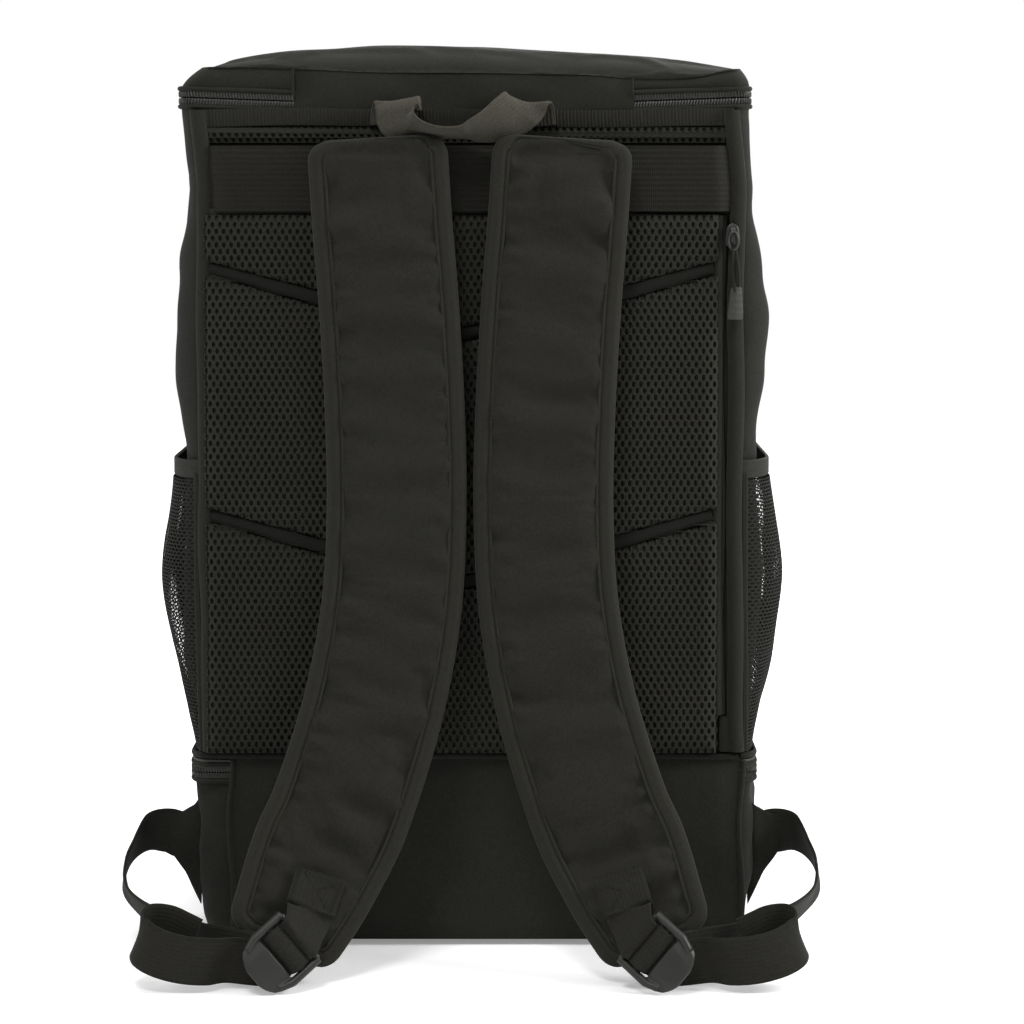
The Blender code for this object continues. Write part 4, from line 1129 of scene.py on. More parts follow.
# %% Base bottom
u, v = rim_dense(60, 50)
corner_y = np.where(v > 0, FRONT_ROUND, 16)
past = np.clip((np.abs(v) * 93.5 - 93.5 + corner_y) / corner_y, 0, 1)
x = u * (146.5 - np.where(v > 0, 19.0, 8.0) * (1 - np.sqrt(1 - past ** 2)))
y = depth_middle + v * 93.5
low = 0.6 + 2.4 * (np.abs(u) ** 12 + np.abs(v) ** 12).clip(0, 1)
bottom = slab(np.stack([x, y, low], -1), np.stack([x * 0.99, y * 0.99, low + 2.0], -1))
piece("base_bottom_cloth", bottom, canvas, "bag", "body_fabric", "base_bottom")
grid = upright(-126, 126, 4.4, 93.4, 90, 40,
               lambda x, z: 99.7 - 0.5 * np.clip(ripples(x, z, 67, 40, 110), -1, 1))
piece("shoe_door_cloth", panel(grid, 1.9), canvas, "shoe_door", "body_fabric", "shoe_door")

# %% Shoe zip and the piping over it
x, y = wall_plan(np.linspace(0, 1, 80), 155.6, seam_y=BACK_Y, front_y=FRONT_Y)
outline = np.vstack([[SEAM_LEFT, BACK_Y], np.stack([-x, y], 1), np.stack([x, y], 1)[::-1]])
shoe_line = evenly(np.column_stack([outline, np.full(len(outline), SHOE_ZIP)]), 520)
shoe_out = np.cross(unit(np.gradient(shoe_line, axis=0)), (0.0, 0.0, -1.0))
shoe_rows = [zip_half(shoe_line + shoe_out * 0.6, UP, shoe_out, 1.5, side * 0.2, reach, 2.6)
             for side, reach in ((1.0, 7.4), (-1.0, -3.4))]
piece("shoe_zip_rows", joined(*shoe_rows), coil, "bag", "zip_tape", "shoe_zip")
folds = [sweep(shoe_line + UP * dz + shoe_out * 0.8, UP, shoe_out, round_profile(2.8, 2.2, 8))
         for dz in (4.6, -4.6)]
waist = shoe_line + UP * 9.6 + shoe_out * 0.4
folds.append(sweep(waist, UP, shoe_out, round_profile(3.6, 2.6, 8)))
x = np.linspace(SEAM_LEFT - 8, SEAM_RIGHT - 1, 120)
waist_back = np.stack([x, np.full(120, BACK_Y - 2.4), 106.8 + 0.4 * ripples(x, 0 * x, 68, 50, 120)], 1)
folds.append(sweep(waist_back, UP, (0, -1.0, 0), round_profile(3.4, 2.6, 8)))
piece("waist_piping", joined(*folds), canvas, "bag", "body_fabric")
z = np.linspace(5, 104, 50)
corner_seams = []
for x_at in (SEAM_LEFT - 0.2, SEAM_RIGHT + 0.2):
    line = np.stack([x_at + 0.7 * ripples(z, 0 * z, 69, 30, 80), np.full(50, BACK_Y - 1.5), z], 1)
    corner_seams.append(sweep(line, (1.0, 0, 0), (0, -1.0, 0), round_profile(3.2, 2.6, 8)))
piece("base_corner_seams", joined(*corner_seams), canvas, "bag", "body_fabric")

# %% [markdown]
# ## Front and inside
# The front carries a zipped pocket, a shallow pan of canvas whose walls lean out to a rounded face. Inside
# are the racket divider, quilted in wide channels, the lining of the flat back pocket, the stiff sheet and
# the floor. They show when the lid is open, so they get their own cloth and stitching as well.

# %% Front panel and pocket
grid = upright(-126.2, 126.2, 109.2, BODY_TOP, 60, 80,
               lambda x, z: FRONT_Y - 0.3 - 0.2 * ripples(x, z, 71, 60, 150))
piece("front_cloth", panel(grid, 2.4), canvas, "bag", "body_fabric", "front_panel")


def pocket_pan(half_w, low_z, high_z, low_y, high_y, n, m, seed):
    """A pan: a superellipse in plan whose face stands at high_y and falls to low_y at the rim as the fourth
    root of 1 - d^14, where d is the greater share of the way out, with soft folds on its face."""
    u, v = rim_dense(n, m)
    squeeze = 1 - 0.045 * (np.abs(u * v)) ** 6
    x, z = u * half_w * squeeze, (low_z + high_z) / 2 + v * (high_z - low_z) / 2 * squeeze
    rise = (np.clip(1 - np.abs(u) ** 14, 0, 1) * np.clip(1 - np.abs(v) ** 14, 0, 1)) ** 0.4
    return np.stack([x, low_y + (high_y - low_y) * rise + rise * 0.9 * ripples(x, z, seed, 40, 120), z], -1)


outer = pocket_pan(114.8, 125.4, 344.6, 100.6, 120.8, 120, 110, 72)
inner = outer - normals(outer, np.array([0.0, 60.0, 235.0])) * 1.4
inner[..., 1] = np.maximum(inner[..., 1], 100.3)
piece("front_pocket_cloth", slab(outer, inner), canvas, "bag", "body_fabric", "front_pocket")
x = np.linspace(-99.5, 99.5, 60)
line = np.stack([x, np.full(60, 123.3), np.full(60, 322.0)], 1)
halves = [zip_half(line, UP, (0, 1.0, 0), 1.25, side * 0.3, side * 6.6, 2.4, 1.2) for side in (-1.0, 1.0)]
piece("front_pocket_zip_rows", joined(*halves), coil, "bag", "zip_tape", "front_pocket_zip")
edge_rows = [sweep(line + UP * side * 6.2 + [0, 0.2, 0], UP, (0, 1.0, 0), round_profile(2.4, 1.8, 8))
             for side in (-1, 1)]
rim_line = np.concatenate([outer[:, 0], outer[-1, 1:], outer[-2::-1, -1], outer[0, -2:0:-1]])
rim_line = evenly(rim_line * [1, 0, 1] + [0, 101.2, 0], 400, ring=True)
ahead = unit(np.roll(rim_line, -1, 0) - np.roll(rim_line, 1, 0))
edge_rows.append(sweep(rim_line, np.cross(ahead, (0, 1.0, 0)), (0, 1.0, 0), round_profile(3.0, 2.2, 8),
                       ring=True))
piece("front_pocket_piping", joined(*edge_rows), canvas, "bag", "body_fabric")
side_seams = []
for sign in (-1, 1):
    z = np.linspace(109, 461, 80)
    line = np.stack([np.full(80, sign * 127.2), np.full(80, FRONT_Y + 0.4), z], 1)
    side_seams.append(sweep(line, (1.0, 0, 0), (0, 1.0, 0), round_profile(3.4, 2.8, 10)))
piece("front_piping", joined(*side_seams), canvas, "bag", "body_fabric")

# %% Inside
quilt = upright(-137.8, 137.8, 108.6, 394.8, 120, 120,
                lambda x, z: -34.0 + 1.5 * np.abs(np.cos(x * np.pi / 46)) ** 12)
other = quilt * [1, 0, 1] + [0, -29.0, 0] - (quilt[..., 1:2] + 34.0) * [0, 1, 0]
divider = piece("racket_divider_cloth", slab(quilt, other), lining, "bag", "lining_fabric", "racket_divider")
edge = evenly(np.array([[-137.6, -31.5, 394.6], [137.6, -31.5, 394.6]]), 60)
edge_tape = sweep(edge, (0, 1.0, 0), UP, tape_profile(6.4, 2.4, 4))
piece("racket_divider_binding", edge_tape, binding_tape, "bag", "lining_fabric")
grid = upright(-139.8, 139.8, 112.2, 439.8, 50, 60, lambda x, z: -81.85 + 0.1 * ripples(x, z, 73, 50, 120))
piece("back_pocket_lining_cloth", panel(grid, 0.6), lining, "bag", "lining_fabric", "back_pocket_lining")
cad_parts["frame_sheet"].data.materials.clear()
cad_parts["frame_sheet"].data.materials.append(stiffener)
x, y = np.meshgrid(np.linspace(-1, 1, 60), np.linspace(-1, 1, 50), indexing="ij")
past = np.clip((np.abs(y) * 90.5 - 90.5 + 24) / 24, 0, 1)
x, y = x * (148.5 - 19 * (1 - np.sqrt(1 - past ** 2))), 4.8 + y * 90.5
floor_top = np.stack([x, y, 107.7 + 0.2 * ripples(x, y, 74, 40, 100)], -1)
piece("main_floor_cloth", slab(floor_top, floor_top - [0, 0, 2.2]), lining, "bag", "lining_fabric",
      "main_floor")

# %% [markdown]
# ## Sliders and pulls
# A slider is two plates joined by a post, with a bridge that holds the pull's eye. Each pull is a flat
# moulded tab with an eye at its top. On the back zip the pull is longer: an eye, a braided cord and a
# rubber end. Each part is swept along a short line, so all its edges come out round.

# %% Sliders


def plates(middle, along, out, wide, long, thick):
    """A slider's body: a rounded top plate that tapers to one end, a base plate and a bridge over them."""
    middle, along, out = np.array(middle, float), unit(along), unit(out)
    across = np.cross(along, out)
    share = np.linspace(-1, 1, 15)
    path = middle + share[:, None] * along * long / 2
    girth = np.sqrt(np.clip(1 - np.abs(share) ** 4, 0.02, 1)) * (1 - 0.16 * share)
    body = tape_profile(wide, thick * 0.44, 6)[None] * girth[:, None, None]
    top = sweep(path + out * thick * 0.26, across, out, body)
    under = sweep(path - out * thick * 0.26, across, out, body * 0.94)
    arch = np.linspace(0, np.pi, 13)
    rise = (thick * 0.34 + np.sin(arch) * thick * 0.42)[:, None]
    bow = middle + np.cos(arch)[:, None] * along * long * 0.34 + out * rise
    ahead = unit(np.gradient(bow, axis=0))
    bridge = sweep(bow, across, np.cross(ahead, across), tape_profile(wide * 0.34, thick * 0.18, 3))
    core = middle + along * long * 0.3 + np.linspace(-0.3, 0.3, 4)[:, None] * out * thick
    post = sweep(core, across, along, round_profile(wide * 0.3, long * 0.2, 8))
    return joined(top, under, bridge, post)


def tab(low, high):
    """A pull's tab: a flat strip hanging in Z, narrow at the eye, with a waist and a round end."""
    low, high = np.array(low, float), np.array(high, float)
    share = np.linspace(0, 1, 26)
    path = np.stack([np.full(26, (low[0] + high[0]) / 2), np.full(26, (low[1] + high[1]) / 2),
                     high[2] - share * (high[2] - low[2])], 1)
    wide = (high[0] - low[0]) * np.interp(share, [0, 0.04, 0.12, 0.3, 0.5, 0.9, 0.97, 1],
                                          [0.35, 0.8, 0.95, 0.62, 0.8, 1.0, 0.9, 0.45])
    section = tape_profile(1.0, 1.0, 4)[None] * np.stack([wide, np.full(26, high[1] - low[1])], 1)[:, None]
    grip = 1 + 0.14 * np.cos(share * 2 * np.pi * 9) * (share > 0.5) * (share < 0.92)
    section[..., 1] *= grip[:, None] * 0.86
    return sweep(path, (1.0, 0, 0), (0, 1.0, 0), section)


TAB_HALF, TAB_THICK = 2.5, 1.6


def slider_and_pull(name, place, way, size, tab_y, tab_low, tab_high):
    """A slider at a place, pointing along X by the sign of way, and its pull's tab hanging in front of it."""
    slider, pull = name + "_slider", name + "_pull"
    shape = plates(place, (way, 0, 0), (0, 1.0, 0), *size)
    piece(slider + "_body", shape, slider_paint, slider, "slider_metal", slider)
    low = (place[0] - TAB_HALF, tab_y, tab_low)
    shape = tab(low, (place[0] + TAB_HALF, tab_y + TAB_THICK, tab_high))
    piece(pull + "_tab", shape, rubber, pull, "pull_rubber", pull)


for name, sign in (("left", -1), ("right", 1)):
    slider_and_pull(name + "_lid", (sign * 9.0, 104.0, 468.0), sign, (8.6, 11.6, 4.2), 107.4, 443.0, 469.0)
    slider_and_pull(name + "_shoe", (sign * 9.0, 103.2, 97.0), sign, (7.6, 9.6, 4.2), 106.7, 74.0, 98.0)
slider_and_pull("front_pocket", (-88.0, 127.0, 322.0), -1, (7.6, 9.6, 3.6), 129.9, 299.0, 323.0)
shape = plates((142.0, PAD_BACK - 6.6, 393.2), (0, 0, 1.0), (0, -1.0, 0), 7.8, 13.4, 4.2)
piece("back_slider_body", shape, slider_paint, "back_slider", "slider_metal", "back_slider")

# %% Cord pull of the back zip
share = np.linspace(0, 1, 40)
PULL_Y = PAD_BACK - 10.8
ring_angle = np.linspace(0, 2 * np.pi, 33)[:-1]
eye = np.stack([142.2 + 2.6 * np.cos(ring_angle), np.full(32, PULL_Y), 390.6 + 5.0 * np.sin(ring_angle)], 1)
ahead = unit(np.roll(eye, -1, 0) - np.roll(eye, 1, 0))
link = sweep(eye, np.cross(ahead, (0, 1.0, 0)), (0, 1.0, 0), round_profile(1.5, 1.5, 8), ring=True)
piece("back_pull_link", link, slider_paint, "back_pull", "slider_metal")
cords = []
for side in (-1.0, 1.0):
    z = 387.0 - share * 24.0
    x = 142.6 + side * (0.5 + 1.1 * np.sin(share * np.pi * 0.85)) + share * 1.6
    path = np.stack([x, PULL_Y + 0.5 * side * np.cos(share * 6), z], 1)
    plait = round_profile(1.0, 1.0, 8)[None] * (1.9 + 0.22 * np.cos(share * 2 * np.pi * 13))[:, None, None]
    cords.append(sweep(path, (1.0, 0, 0), (0, 1.0, 0), plait))
piece("back_pull_cord", joined(*cords), webbing_weave, "back_pull", "pull_rubber", crease=80)
wide = np.interp(share, [0, 0.05, 0.2, 0.9, 1], [4.4, 6.0, 6.6, 8.6, 7.6])
grip = np.stack([144.0 + share * -0.6, np.full(40, PULL_Y), 365.5 - share * 17.6], 1)
deep = 2.3 + 0.3 * np.cos(share * 2 * np.pi * 5)
section = tape_profile(1.0, 1.0, 5)[None] * np.stack([wide, deep], 1)[:, None]
body = sweep(grip, (1.0, 0, 0), (0, -1.0, 0), section)
piece("back_pull_grip", body, rubber, "back_pull", "pull_rubber", "back_pull")

# %% [markdown]
# ## Shoulder straps
# A strap is a long foam pad in canvas, with a flat binding folded over its whole edge and one row of
# stitches that pulls the binding tight. Foam bulges between the stitch rows, and the cloth, cut a little
# too long, wrinkles across the strap every two or three centimetres. The pad is a grid round the strap's
# middle line, swelled by Cloth with its edge held. Binding and stitches are added after, since they would
# be lost in the simulation.

# %% Strap lines
STRAP_PATH = [(-50.0, -113.0, 446.0), (-47.0, -115.0, 400.0), (-43.5, -117.0, 355.8), (-40.5, -119.5, 301.7),
              (-39.4, -123.0, 247.9), (-42.2, -128.0, 194.5), (-51.8, -135.0, 141.8), (-67.9, -145.0, 90.5),
              (-79.3, -152.0, 65.7), (-90.2, -161.0, 41.7), (-101.5, -171.0, 19.0)]
STRAP_HALF, END_ROUND, BINDING, TAPER = 37.2, 11.0, 8.6, 8.0
PAD_N, PAD_M = 170, 27


def mirror(points, sign):
    """Points of the left side, or their mirror image for the right side."""
    return np.asarray(points, float) * [-sign, 1, 1]


def strap_frame(sign):
    """The strap's middle line with its ahead, across and out directions; out faces the wearer."""
    line = smooth_path(mirror(STRAP_PATH, sign), PAD_N)
    ahead = unit(np.gradient(line, axis=0))
    across = unit(np.cross(ahead, (0, -1.0, 0))) * -sign
    out = np.cross(across, ahead)
    return line, ahead, across, out * -np.sign(out[:, 1:2])


def strap_width(line):
    """Half the strap's width along its line: full, narrower by TAPER towards the lower end, with a quarter
    circle of END_ROUND at each end's corners. Also how far each place is from a bound end."""
    run = run_of(line)
    left_over = run[-1] - run
    near = np.minimum(run, left_over)
    corner = END_ROUND * (1 - np.sqrt(1 - np.clip((END_ROUND - near) / END_ROUND, 0, 1) ** 2))
    half = STRAP_HALF - TAPER * np.clip(1 - left_over / 62.0, 0, 1) ** 1.5 - corner
    return half, np.minimum(run + 6.0, left_over)


def strap_face(line, t, bulge):
    """Height of the pad's face over its middle plane: low under the binding, then an arch of what is left."""
    half, near = strap_width(line)
    from_edge = np.minimum(half[:, None] * (1 - np.abs(t)), near[:, None] + 1.0)
    rise = np.clip((from_edge - BINDING + 1.0) / 12.0, 0, 1)
    return 1.9 + bulge * np.sqrt(1 - (1 - rise) ** 2), from_edge


t = np.sin(np.linspace(-1, 1, PAD_M) * np.pi / 2)[None] * 0.45 + np.linspace(-1, 1, PAD_M)[None] * 0.55
for name, sign in (("left", -1), ("right", 1)):
    line, ahead, across, out = strap_frame(sign)
    half, near = strap_width(line)
    height, from_edge = strap_face(line, t, 2.5)
    plane = line[:, None] + across[:, None] * (half[:, None] * t)[..., None]
    front = plane + out[:, None] * height[..., None]
    rear = plane - out[:, None] * (height * 0.94)[..., None]
    shape = slab(front, rear)
    held = np.tile((from_edge < BINDING - 0.5).ravel(), 2)
    shape = swell(name + "_strap", shape, held, 4.0, 0.03, 1.4)
    run = run_of(line)[:, None] + 0 * t
    wide = half[:, None] * t
    middle = np.clip((from_edge - BINDING) / 14.0, 0, 1)
    wrinkle = 1.7 * ripples(wide, run, 81 + sign, 16, 46, slant=(1.15, 1.95), waves=26)
    wrinkle = np.where(wrinkle > 0, wrinkle * 0.55, wrinkle) + 0.35 * ripples(wide, run, 85 + sign, 40, 110)
    tucks = ripples(wide, run, 87 + sign, 7, 14, slant=(1.3, 1.8))
    tucks = tucks * np.clip(1 - np.abs(from_edge - 13) / 9, 0, 1)
    push = (out[:, None] * (1.5 * wrinkle * middle ** 0.5 + 0.8 * tucks)[..., None]).reshape(-1, 3)
    shape = (shape[0] + np.concatenate([push, -0.5 * push]), shape[1], shape[2])
    pad = piece(name + "_strap_cloth", shape, strap_canvas, name + "_strap", "strap_fabric",
                name + "_strap_pad", crease=80, smooth=1, sway=False)

    sides = plane[:, 0], plane[-1, 1:], plane[-2::-1, -1], plane[0, -2:0:-1]
    guide = np.concatenate([out, np.repeat(out[-1:], PAD_M - 1, 0), out[-2::-1],
                            np.repeat(out[:1], PAD_M - 2, 0)])
    loop = evenly(np.column_stack([np.concatenate(sides), guide]), 560, ring=True)
    rim, face = loop[:, :3], unit(loop[:, 3:6])
    ahead_rim = np.roll(rim, -3, 0) - np.roll(rim, 3, 0)
    side = unit(np.cross(unit(ahead_rim), face))
    nearest = line[np.argmin(np.linalg.norm(rim[:, None] - line[None], axis=2), 1)]
    side *= np.sign(np.sum(side * (rim - nearest)))
    fold = [(-9.4, 1.0), (-9.4, 3.1), (-9.0, 3.8), (-8.3, 3.8), (-7.5, 3.05), (-6.6, 3.7), (-5.0, 3.9),
            (-2.4, 3.6), (-0.9, 2.8), (0.1, 1.5), (0.4, 0.0)]
    section = np.array(fold + [(a, -b) for a, b in reversed(fold[:-1])])
    wave = 1 + 0.03 * ripples(np.arange(560) * 2.0, 0 * np.arange(560), 89 + sign, 14, 40)
    sideways = np.abs(np.sum((rim - line[0]) * across[0], 1))
    top_end = np.clip((rim[:, 2] - line[0, 2] + 3.0) / 3.0, 0, 1)
    top_end = top_end * np.clip((STRAP_HALF - 6 - sideways) / 6.0, 0, 1)
    section = section[None] * np.stack([1 - 0.8 * top_end, wave * (1 - 0.25 * top_end)], 1)[:, None]
    piece(name + "_strap_binding", sweep(rim, side, face, section, ring=True), binding_tape, name + "_strap",
          "strap_fabric", crease=60, sway=False)
    rows = []
    for level in (3.3, -3.3):
        path = evenly(rim - side * 7.5 + face * level, 400, ring=True)
        step = np.roll(path, -1, 0) - path
        flat_face = unit(evenly(np.column_stack([rim, face]), 400, ring=True)[:, 3:6])
        sewn = path[:, 2] < line[0, 2] - 8.0
        rows.append(rods((path + step * 0.12)[sewn], (path + step * 0.84)[sewn], flat_face[sewn], 0.75, 0.5))
    piece(name + "_strap_stitches", joined(*rows), thread, name + "_strap", "strap_fabric", sway=False)

# %% [markdown]
# ## Ladder locks, sewn loops and webbing
# At each strap's lower end a short loop of webbing is sewn down with a box of stitches and holds a ladder
# lock. The adjuster webbing comes from a cloth wing at the bag's lower corner, stands on edge in a wide
# loop, passes over the lock's middle bar, and its free end curls back. The lock is a set of bars and a
# curved thumb tab. They are swept one by one and then made one moulded body by a fine voxel remesh.

# %% Ladder locks
LOCK_TOP, LOCK_END = np.array([-87.5, -179.9, 29.5]), np.array([-112.0, -191.8, 9.2])
LOCK_HALF = 17.6


def lock_frame(sign):
    """The lock's top, and its down, across and front directions."""
    top, end = mirror(LOCK_TOP, sign), mirror(LOCK_END, sign)
    down = unit(end - top)
    across = unit(np.cross(down, (0, -1.0, 0)))
    front = np.cross(down, across)
    return top, down, across, front * -np.sign(front[1]), np.linalg.norm(end - top)


def bar(top, down, across, front, from_a, to_a, at, high, wide, thick, count=24, bow=0.0):
    """A rounded bar across the lock, between two places along across, with an arch of height bow."""
    share = np.linspace(0, 1, count)[:, None]
    path = top + across * (from_a + (to_a - from_a) * share) + down * at
    path = path + front * (high + bow * np.sin(share * np.pi))
    return sweep(path, down, front, round_profile(wide, thick, 14))


for name, sign in (("left", -1), ("right", 1)):
    top, down, across, front, length = lock_frame(sign)
    axes = (top, down, across, front)
    parts = [bar(*axes, -15.0, 15.0, 1.9, 0.0, 4.0, 4.4),
             bar(*axes, -15.0, 15.0, 11.6, 0.3, 4.6, 3.2, bow=0.3)]
    share = np.linspace(0, 1, 30)
    for side in (-1.0, 1.0):
        reach = LOCK_HALF - 2.3 - 2.6 * np.clip(share - 0.72, 0, 1) / 0.28
        path = top + across * (side * reach)[:, None] + down * (1.4 + share * (length - 8.0))[:, None]
        path = path + front * (0.5 * np.sin(share * np.pi))[:, None]
        parts.append(sweep(path, across, front, round_profile(4.6, 5.6, 14)))
    rows = np.linspace(0, 1, 16)
    half = np.interp(rows, [0, 0.25, 0.5, 0.75, 0.92, 1.0], [16.2, 16.3, 15.6, 13.4, 9.4, 5.6])
    lift = np.interp(rows, [0, 0.4, 1.0], [0.4, 1.0, 1.9])
    path = top + down * (18.8 + rows * (length - 18.4))[:, None] + front * (lift - 0.6)[:, None]
    section = tape_profile(2.0, 1.0, 8)[None] * np.stack([half, np.linspace(5.4, 3.6, 16)], 1)[:, None]
    section[..., 1] -= 1.6 * (section[..., 0] / 15.0) ** 2
    parts.append(sweep(path, across, front, section))
    made = put_mesh(name + "_ladder_lock_body", joined(*parts))
    voxels = made.modifiers.new("Remesh", "REMESH")
    voxels.mode, voxels.voxel_size, voxels.use_smooth_shade = "VOXEL", 0.42 * MM, True
    melt = made.modifiers.new("Smooth", "SMOOTH")
    melt.factor, melt.iterations = 0.6, 6
    finished = bpy.data.meshes.new_from_object(made.evaluated_get(bpy.context.evaluated_depsgraph_get()))
    made.modifiers.clear()
    made.data = finished
    finished.materials.clear()
    finished.materials.append(buckle)
    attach(made, name + "_ladder_lock")
    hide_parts(name + "_ladder_lock")
    tally[made.name] = 2 * len(finished.polygons)
    print(f"{made.name}: {tally[made.name]} triangles")

# %% Sewn loops
WEB_THICK = 1.5


def ribbon(path, section):
    """A section carried along a path of places and width directions. Each width direction loses the part of
    it that runs along the path, so it stands square to it."""
    place, wide_way = path[:, :3], path[:, 3:6]
    ahead = unit(np.gradient(place, axis=0))
    wide_way = unit(wide_way - ahead * np.sum(wide_way * ahead, 1, keepdims=True))
    return sweep(place, wide_way, np.cross(ahead, wide_way), section)


for name, sign in (("left", -1), ("right", 1)):
    line, ahead, across, out = strap_frame(sign)
    top, down, lock_across, front, length = lock_frame(sign)
    begin, stop = mirror((-78.3, 0, 57.5), sign), mirror((-84.6, 0, 37.5), sign)
    strap_way = unit(stop - begin)
    stations = []
    for share in np.linspace(0, 1, 6):
        x, z = (begin + (stop - begin) * share)[[0, 2]]
        i = np.argmin(np.abs(line[:, 2] - z))
        y = line[i, 1] - 6.9 - 0.5 * share
        turned = share * 0.7
        way = lock_across * np.sign(np.dot(lock_across, across[-1]))
        stations.append([x, y, z, *unit(across[i] * (1 - turned) + way * turned)])
    bar_1 = top + down * 2.2
    for back, deep in ((-1.0, 3.3), (2.2, 2.9), (3.9, 0.4), (2.8, -2.6), (-1.0, -3.4), (-3.5, -3.2)):
        place = bar_1 + down * back * 0.9 + front * deep
        stations.append([*place, *way])
    widen = np.interp(np.linspace(0, 1, 90), [0, 0.4, 0.6, 1], [1.12, 1.1, 1, 1])
    section = tape_profile(24.6, WEB_THICK, 12)[None] * np.stack([widen, np.ones(90)], 1)[:, None]
    loop = ribbon(smooth_path(stations, 90), section)
    x_way = across[np.argmin(np.abs(line[:, 2] - 50))]
    patch_face = unit(np.cross(strap_way, x_way))
    patch_face *= -np.sign(patch_face[1])
    middle = np.array(stations[2][:3]) + patch_face * 0.85
    along = unit(np.array(stations[4][:3]) - np.array(stations[0][:3]))
    corners = [middle + x_way * a * 11.6 + along * b * 9.0 for a, b in ((-1, -1), (1, -1), (1, 1), (-1, 1))]
    seams = [(0, 1), (1, 2), (2, 3), (3, 0), (0, 2), (1, 3)]
    rows = [evenly(np.array([corners[a], corners[b]]), 9) for a, b in seams]
    starts = np.concatenate([row[:-1] for row in rows])
    steps = np.concatenate([np.diff(row, axis=0) for row in rows])
    box = rods(starts + steps * 0.12, starts + steps * 0.85, np.broadcast_to(patch_face, starts.shape), 0.6,
               0.5)
    piece(name + "_sewn_loop", loop, webbing_weave, name + "_strap", "webbing", name + "_strap_loop",
          sway=False)
    piece(name + "_loop_stitches", box, thread, name + "_strap", "webbing", sway=False)

# %% [markdown]
# ### Adjuster webbing
# Webbing on edge keeps its width upright, so its path needs a place and a lean at each station. The stretch
# between wing and lock crosses the joint between bag and strap, so it rides on neither body. The part
# that wraps the lock's bar and the free tail ride on the strap.

# %% Adjuster webbing
WEB_SECTION = tape_profile(25.0, WEB_THICK, 12)
RUN = [(-161, -76.5, 58, 0, 0), (-169.0, -76.8, 61.5, 0.05, 0), (-180.0, -79.0, 60.0, 0.3, -0.25),
       (-188.0, -88.0, 52.0, 0.35, -0.3), (-190.5, -101.0, 42.0, 0.1, -0.3),
       (-184.5, -117.0, 33.0, -0.3, -0.6),
       (-173.0, -131.0, 27.0, -0.35, -0.65), (-157.0, -147.0, 22.0, -0.1, -0.4),
       (-141.0, -161.0, 19.0, 0.1, -0.2), (-124.0, -171.0, 18.0, 0.3, 0)]
TAIL = [(-124.0, -179.0, 15.6, 0.3, 0), (-137.0, -185.0, 16.4, 0.1, 0.1), (-150.0, -187.0, 18.0, 0, 0.15),
        (-162.0, -185.6, 21.0, 0.1, 0.2), (-170.5, -181.0, 24.5, 0.2, 0.2), (-173.5, -174.0, 28.0, 0.3, 0.1),
        (-169.0, -168.4, 30.5, 0.4, 0), (-160.0, -168.0, 30.0, 0.35, 0), (-152.0, -169.5, 27.0, 0.25, 0),
        (-145.0, -171.0, 24.0, 0.15, 0)]


def upright_stations(points, sign):
    """Stations of place and width direction: upright, tilted along X and Y by the last two numbers."""
    given = np.array(points, float)
    place = mirror(given[:, :3], sign)
    way = unit(np.stack([-sign * given[:, 3], given[:, 4], np.ones(len(given))], 1))
    return np.column_stack([place, way])


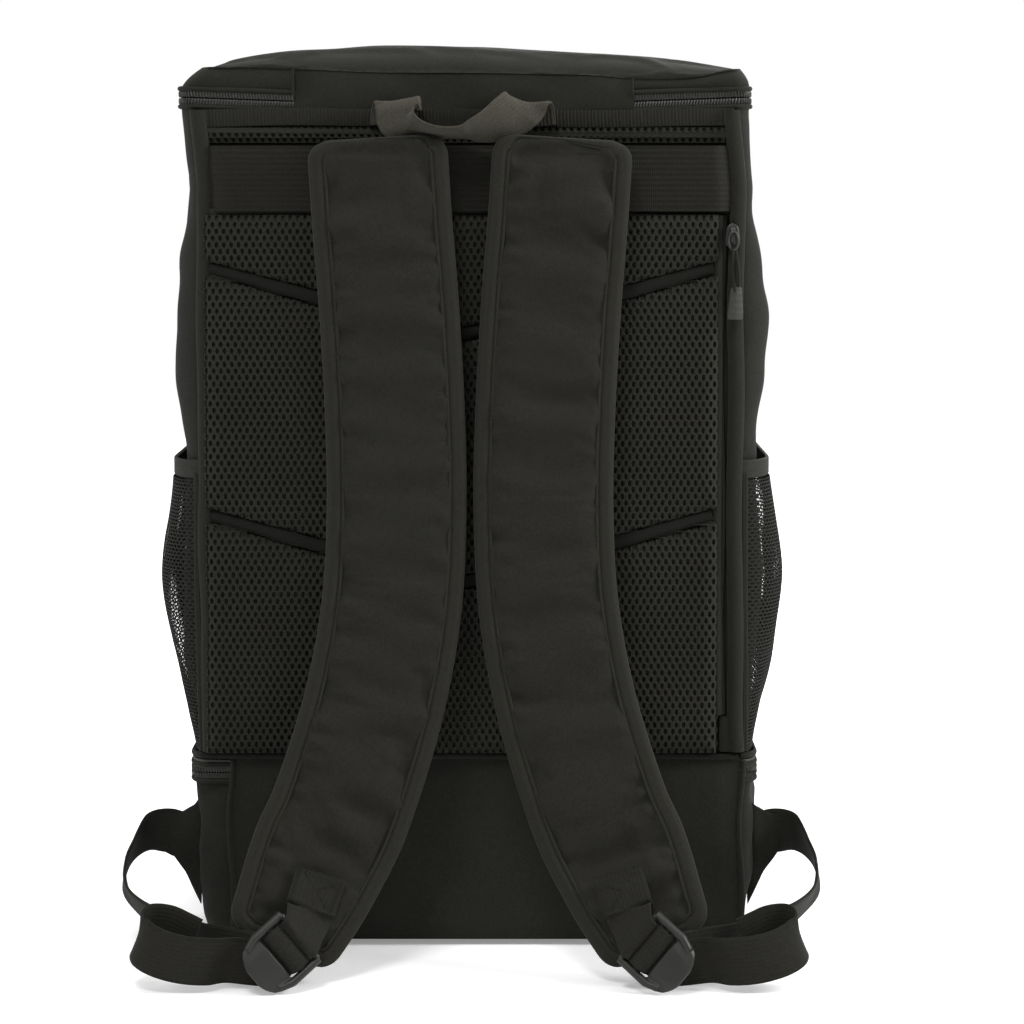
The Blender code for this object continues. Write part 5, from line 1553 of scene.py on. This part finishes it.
webbing_lengths = {}
for name, sign in (("left", -1), ("right", 1)):
    top, down, lock_across, front, length = lock_frame(sign)
    way = lock_across * np.sign(lock_across[2])
    behind = top + down * 17.4 - front * 6.4
    enter = np.array([*behind, *way])
    run = np.vstack([upright_stations(RUN, sign), enter])
    path = smooth_path(run, 150)
    webbing = piece(name + "_adjuster_webbing", ribbon(path, WEB_SECTION), webbing_weave, None, "webbing",
                    name + "_webbing", sway=False)
    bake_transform(webbing)
    steps = [(17.0, -5.6), (16.6, -1.5), (15.6, 2.0), (13.2, 3.2), (10.0, 3.2), (7.4, 2.0), (6.2, -1.5),
             (6.8, -5.4), (12.0, -8.4), (22.0, -9.4)]
    wrap = [np.array([*(top + down * d + front * f), *way]) for d, f in steps]
    tail = np.vstack([wrap, upright_stations(TAIL, sign)])
    tail_path = smooth_path(tail, 210)
    piece(name + "_webbing_tail", ribbon(tail_path, WEB_SECTION), webbing_weave, name + "_strap", "webbing",
          name + "_webbing_end", sway=False)
    webbing_lengths[name] = round(float(run_of(path[:, :3])[-1] + run_of(tail_path[:, :3])[-1]), 1)
    wing = [(-150.5, 84.0), (-156.0, 76.0), (-163.5, 71.5), (-169.5, 70.0), (-170.5, 60.0), (-169.0, 49.5),
            (-161.0, 38.0), (-152.5, 20.0)]
    top_line, low_line = np.array(wing[:4]), np.array(wing[:3:-1])
    s = np.linspace(0, 1, 24)
    upper = np.stack([np.interp(s, np.linspace(0, 1, 4), top_line[:, k]) for k in (0, 1)], 1)
    lower = np.stack([np.interp(s, np.linspace(0, 1, 4), low_line[:, k]) for k in (0, 1)], 1)
    r = np.linspace(0, 1, 20)[None, :, None]
    flat = upper[:, None] * (1 - r) + lower[:, None] * r
    depth = -76.8 + 0.8 * ripples(flat[..., 0] * 1.5, flat[..., 1], 91 + sign, 14, 40)
    grid = np.stack([-sign * flat[..., 0], depth, flat[..., 1]], -1)
    piece(name + "_wing_cloth", slab(grid - [0, 1.6, 0], grid + [0, 1.6, 0]), canvas, "bag", "body_fabric",
          name + "_wing")
print("webbing lengths in mm:", webbing_lengths)

# %% [markdown]
# ## Grab handle
# A short strip of stiff ribbed webbing is sewn to the back at both ends. It comes up flat, turns over, and
# sags in the middle, where it stands on edge and shows only its thickness. Stations with a place and a
# width direction describe that turn, and the smooth path carries both.

# %% Handle
HANDLE = [((-42, -95.2, 452), (1, 0, 0.08)), ((-41, -96.8, 460), (1, 0, 0.12)),
          ((-39.5, -101, 465.4), (1, 0, 0.17)),
          ((-38.5, -106.5, 462.6), (1, -0.05, 0.2)), ((-37.5, -109.5, 456), (25, -4, 6)),
          ((-31, -113, 451.4), (18, -17, 6)),
          ((-19, -115.5, 449), (10, -23, 5)), ((-5, -117, 448.8), (0, -25, 6)),
          ((2, -117, 450.4), (-5.5, -22, 10)),
          ((10.5, -115, 453), (-10, -17, 14)), ((20, -111.5, 457), (-15, -8, 16)),
          ((27, -107.5, 461.5), (-20, -3, 9)),
          ((31, -102, 464.4), (-24, 0, 3)), ((33, -97, 460), (-1, 0, 0)), ((34, -95.2, 452), (-1, 0, 0))]
stations = [[*place, *unit(way)] for place, way in HANDLE]
path = smooth_path(stations, 170)
section = tape_profile(25.0, 1.7, 40)
section[:, 1] *= 1 + 0.16 * np.cos(section[:, 0] * 2 * np.pi / 2.1)
handle = ribbon(path, section)
piece("grab_handle_webbing", handle, handle_weave, "grab_handle", "handle_webbing", "grab_handle", sway=False)

# %% [markdown]
# ## Counting
# The last cell prints how many triangles the new pieces have.

# %% Count triangles
print("triangles in new pieces:", sum(tally.values()))
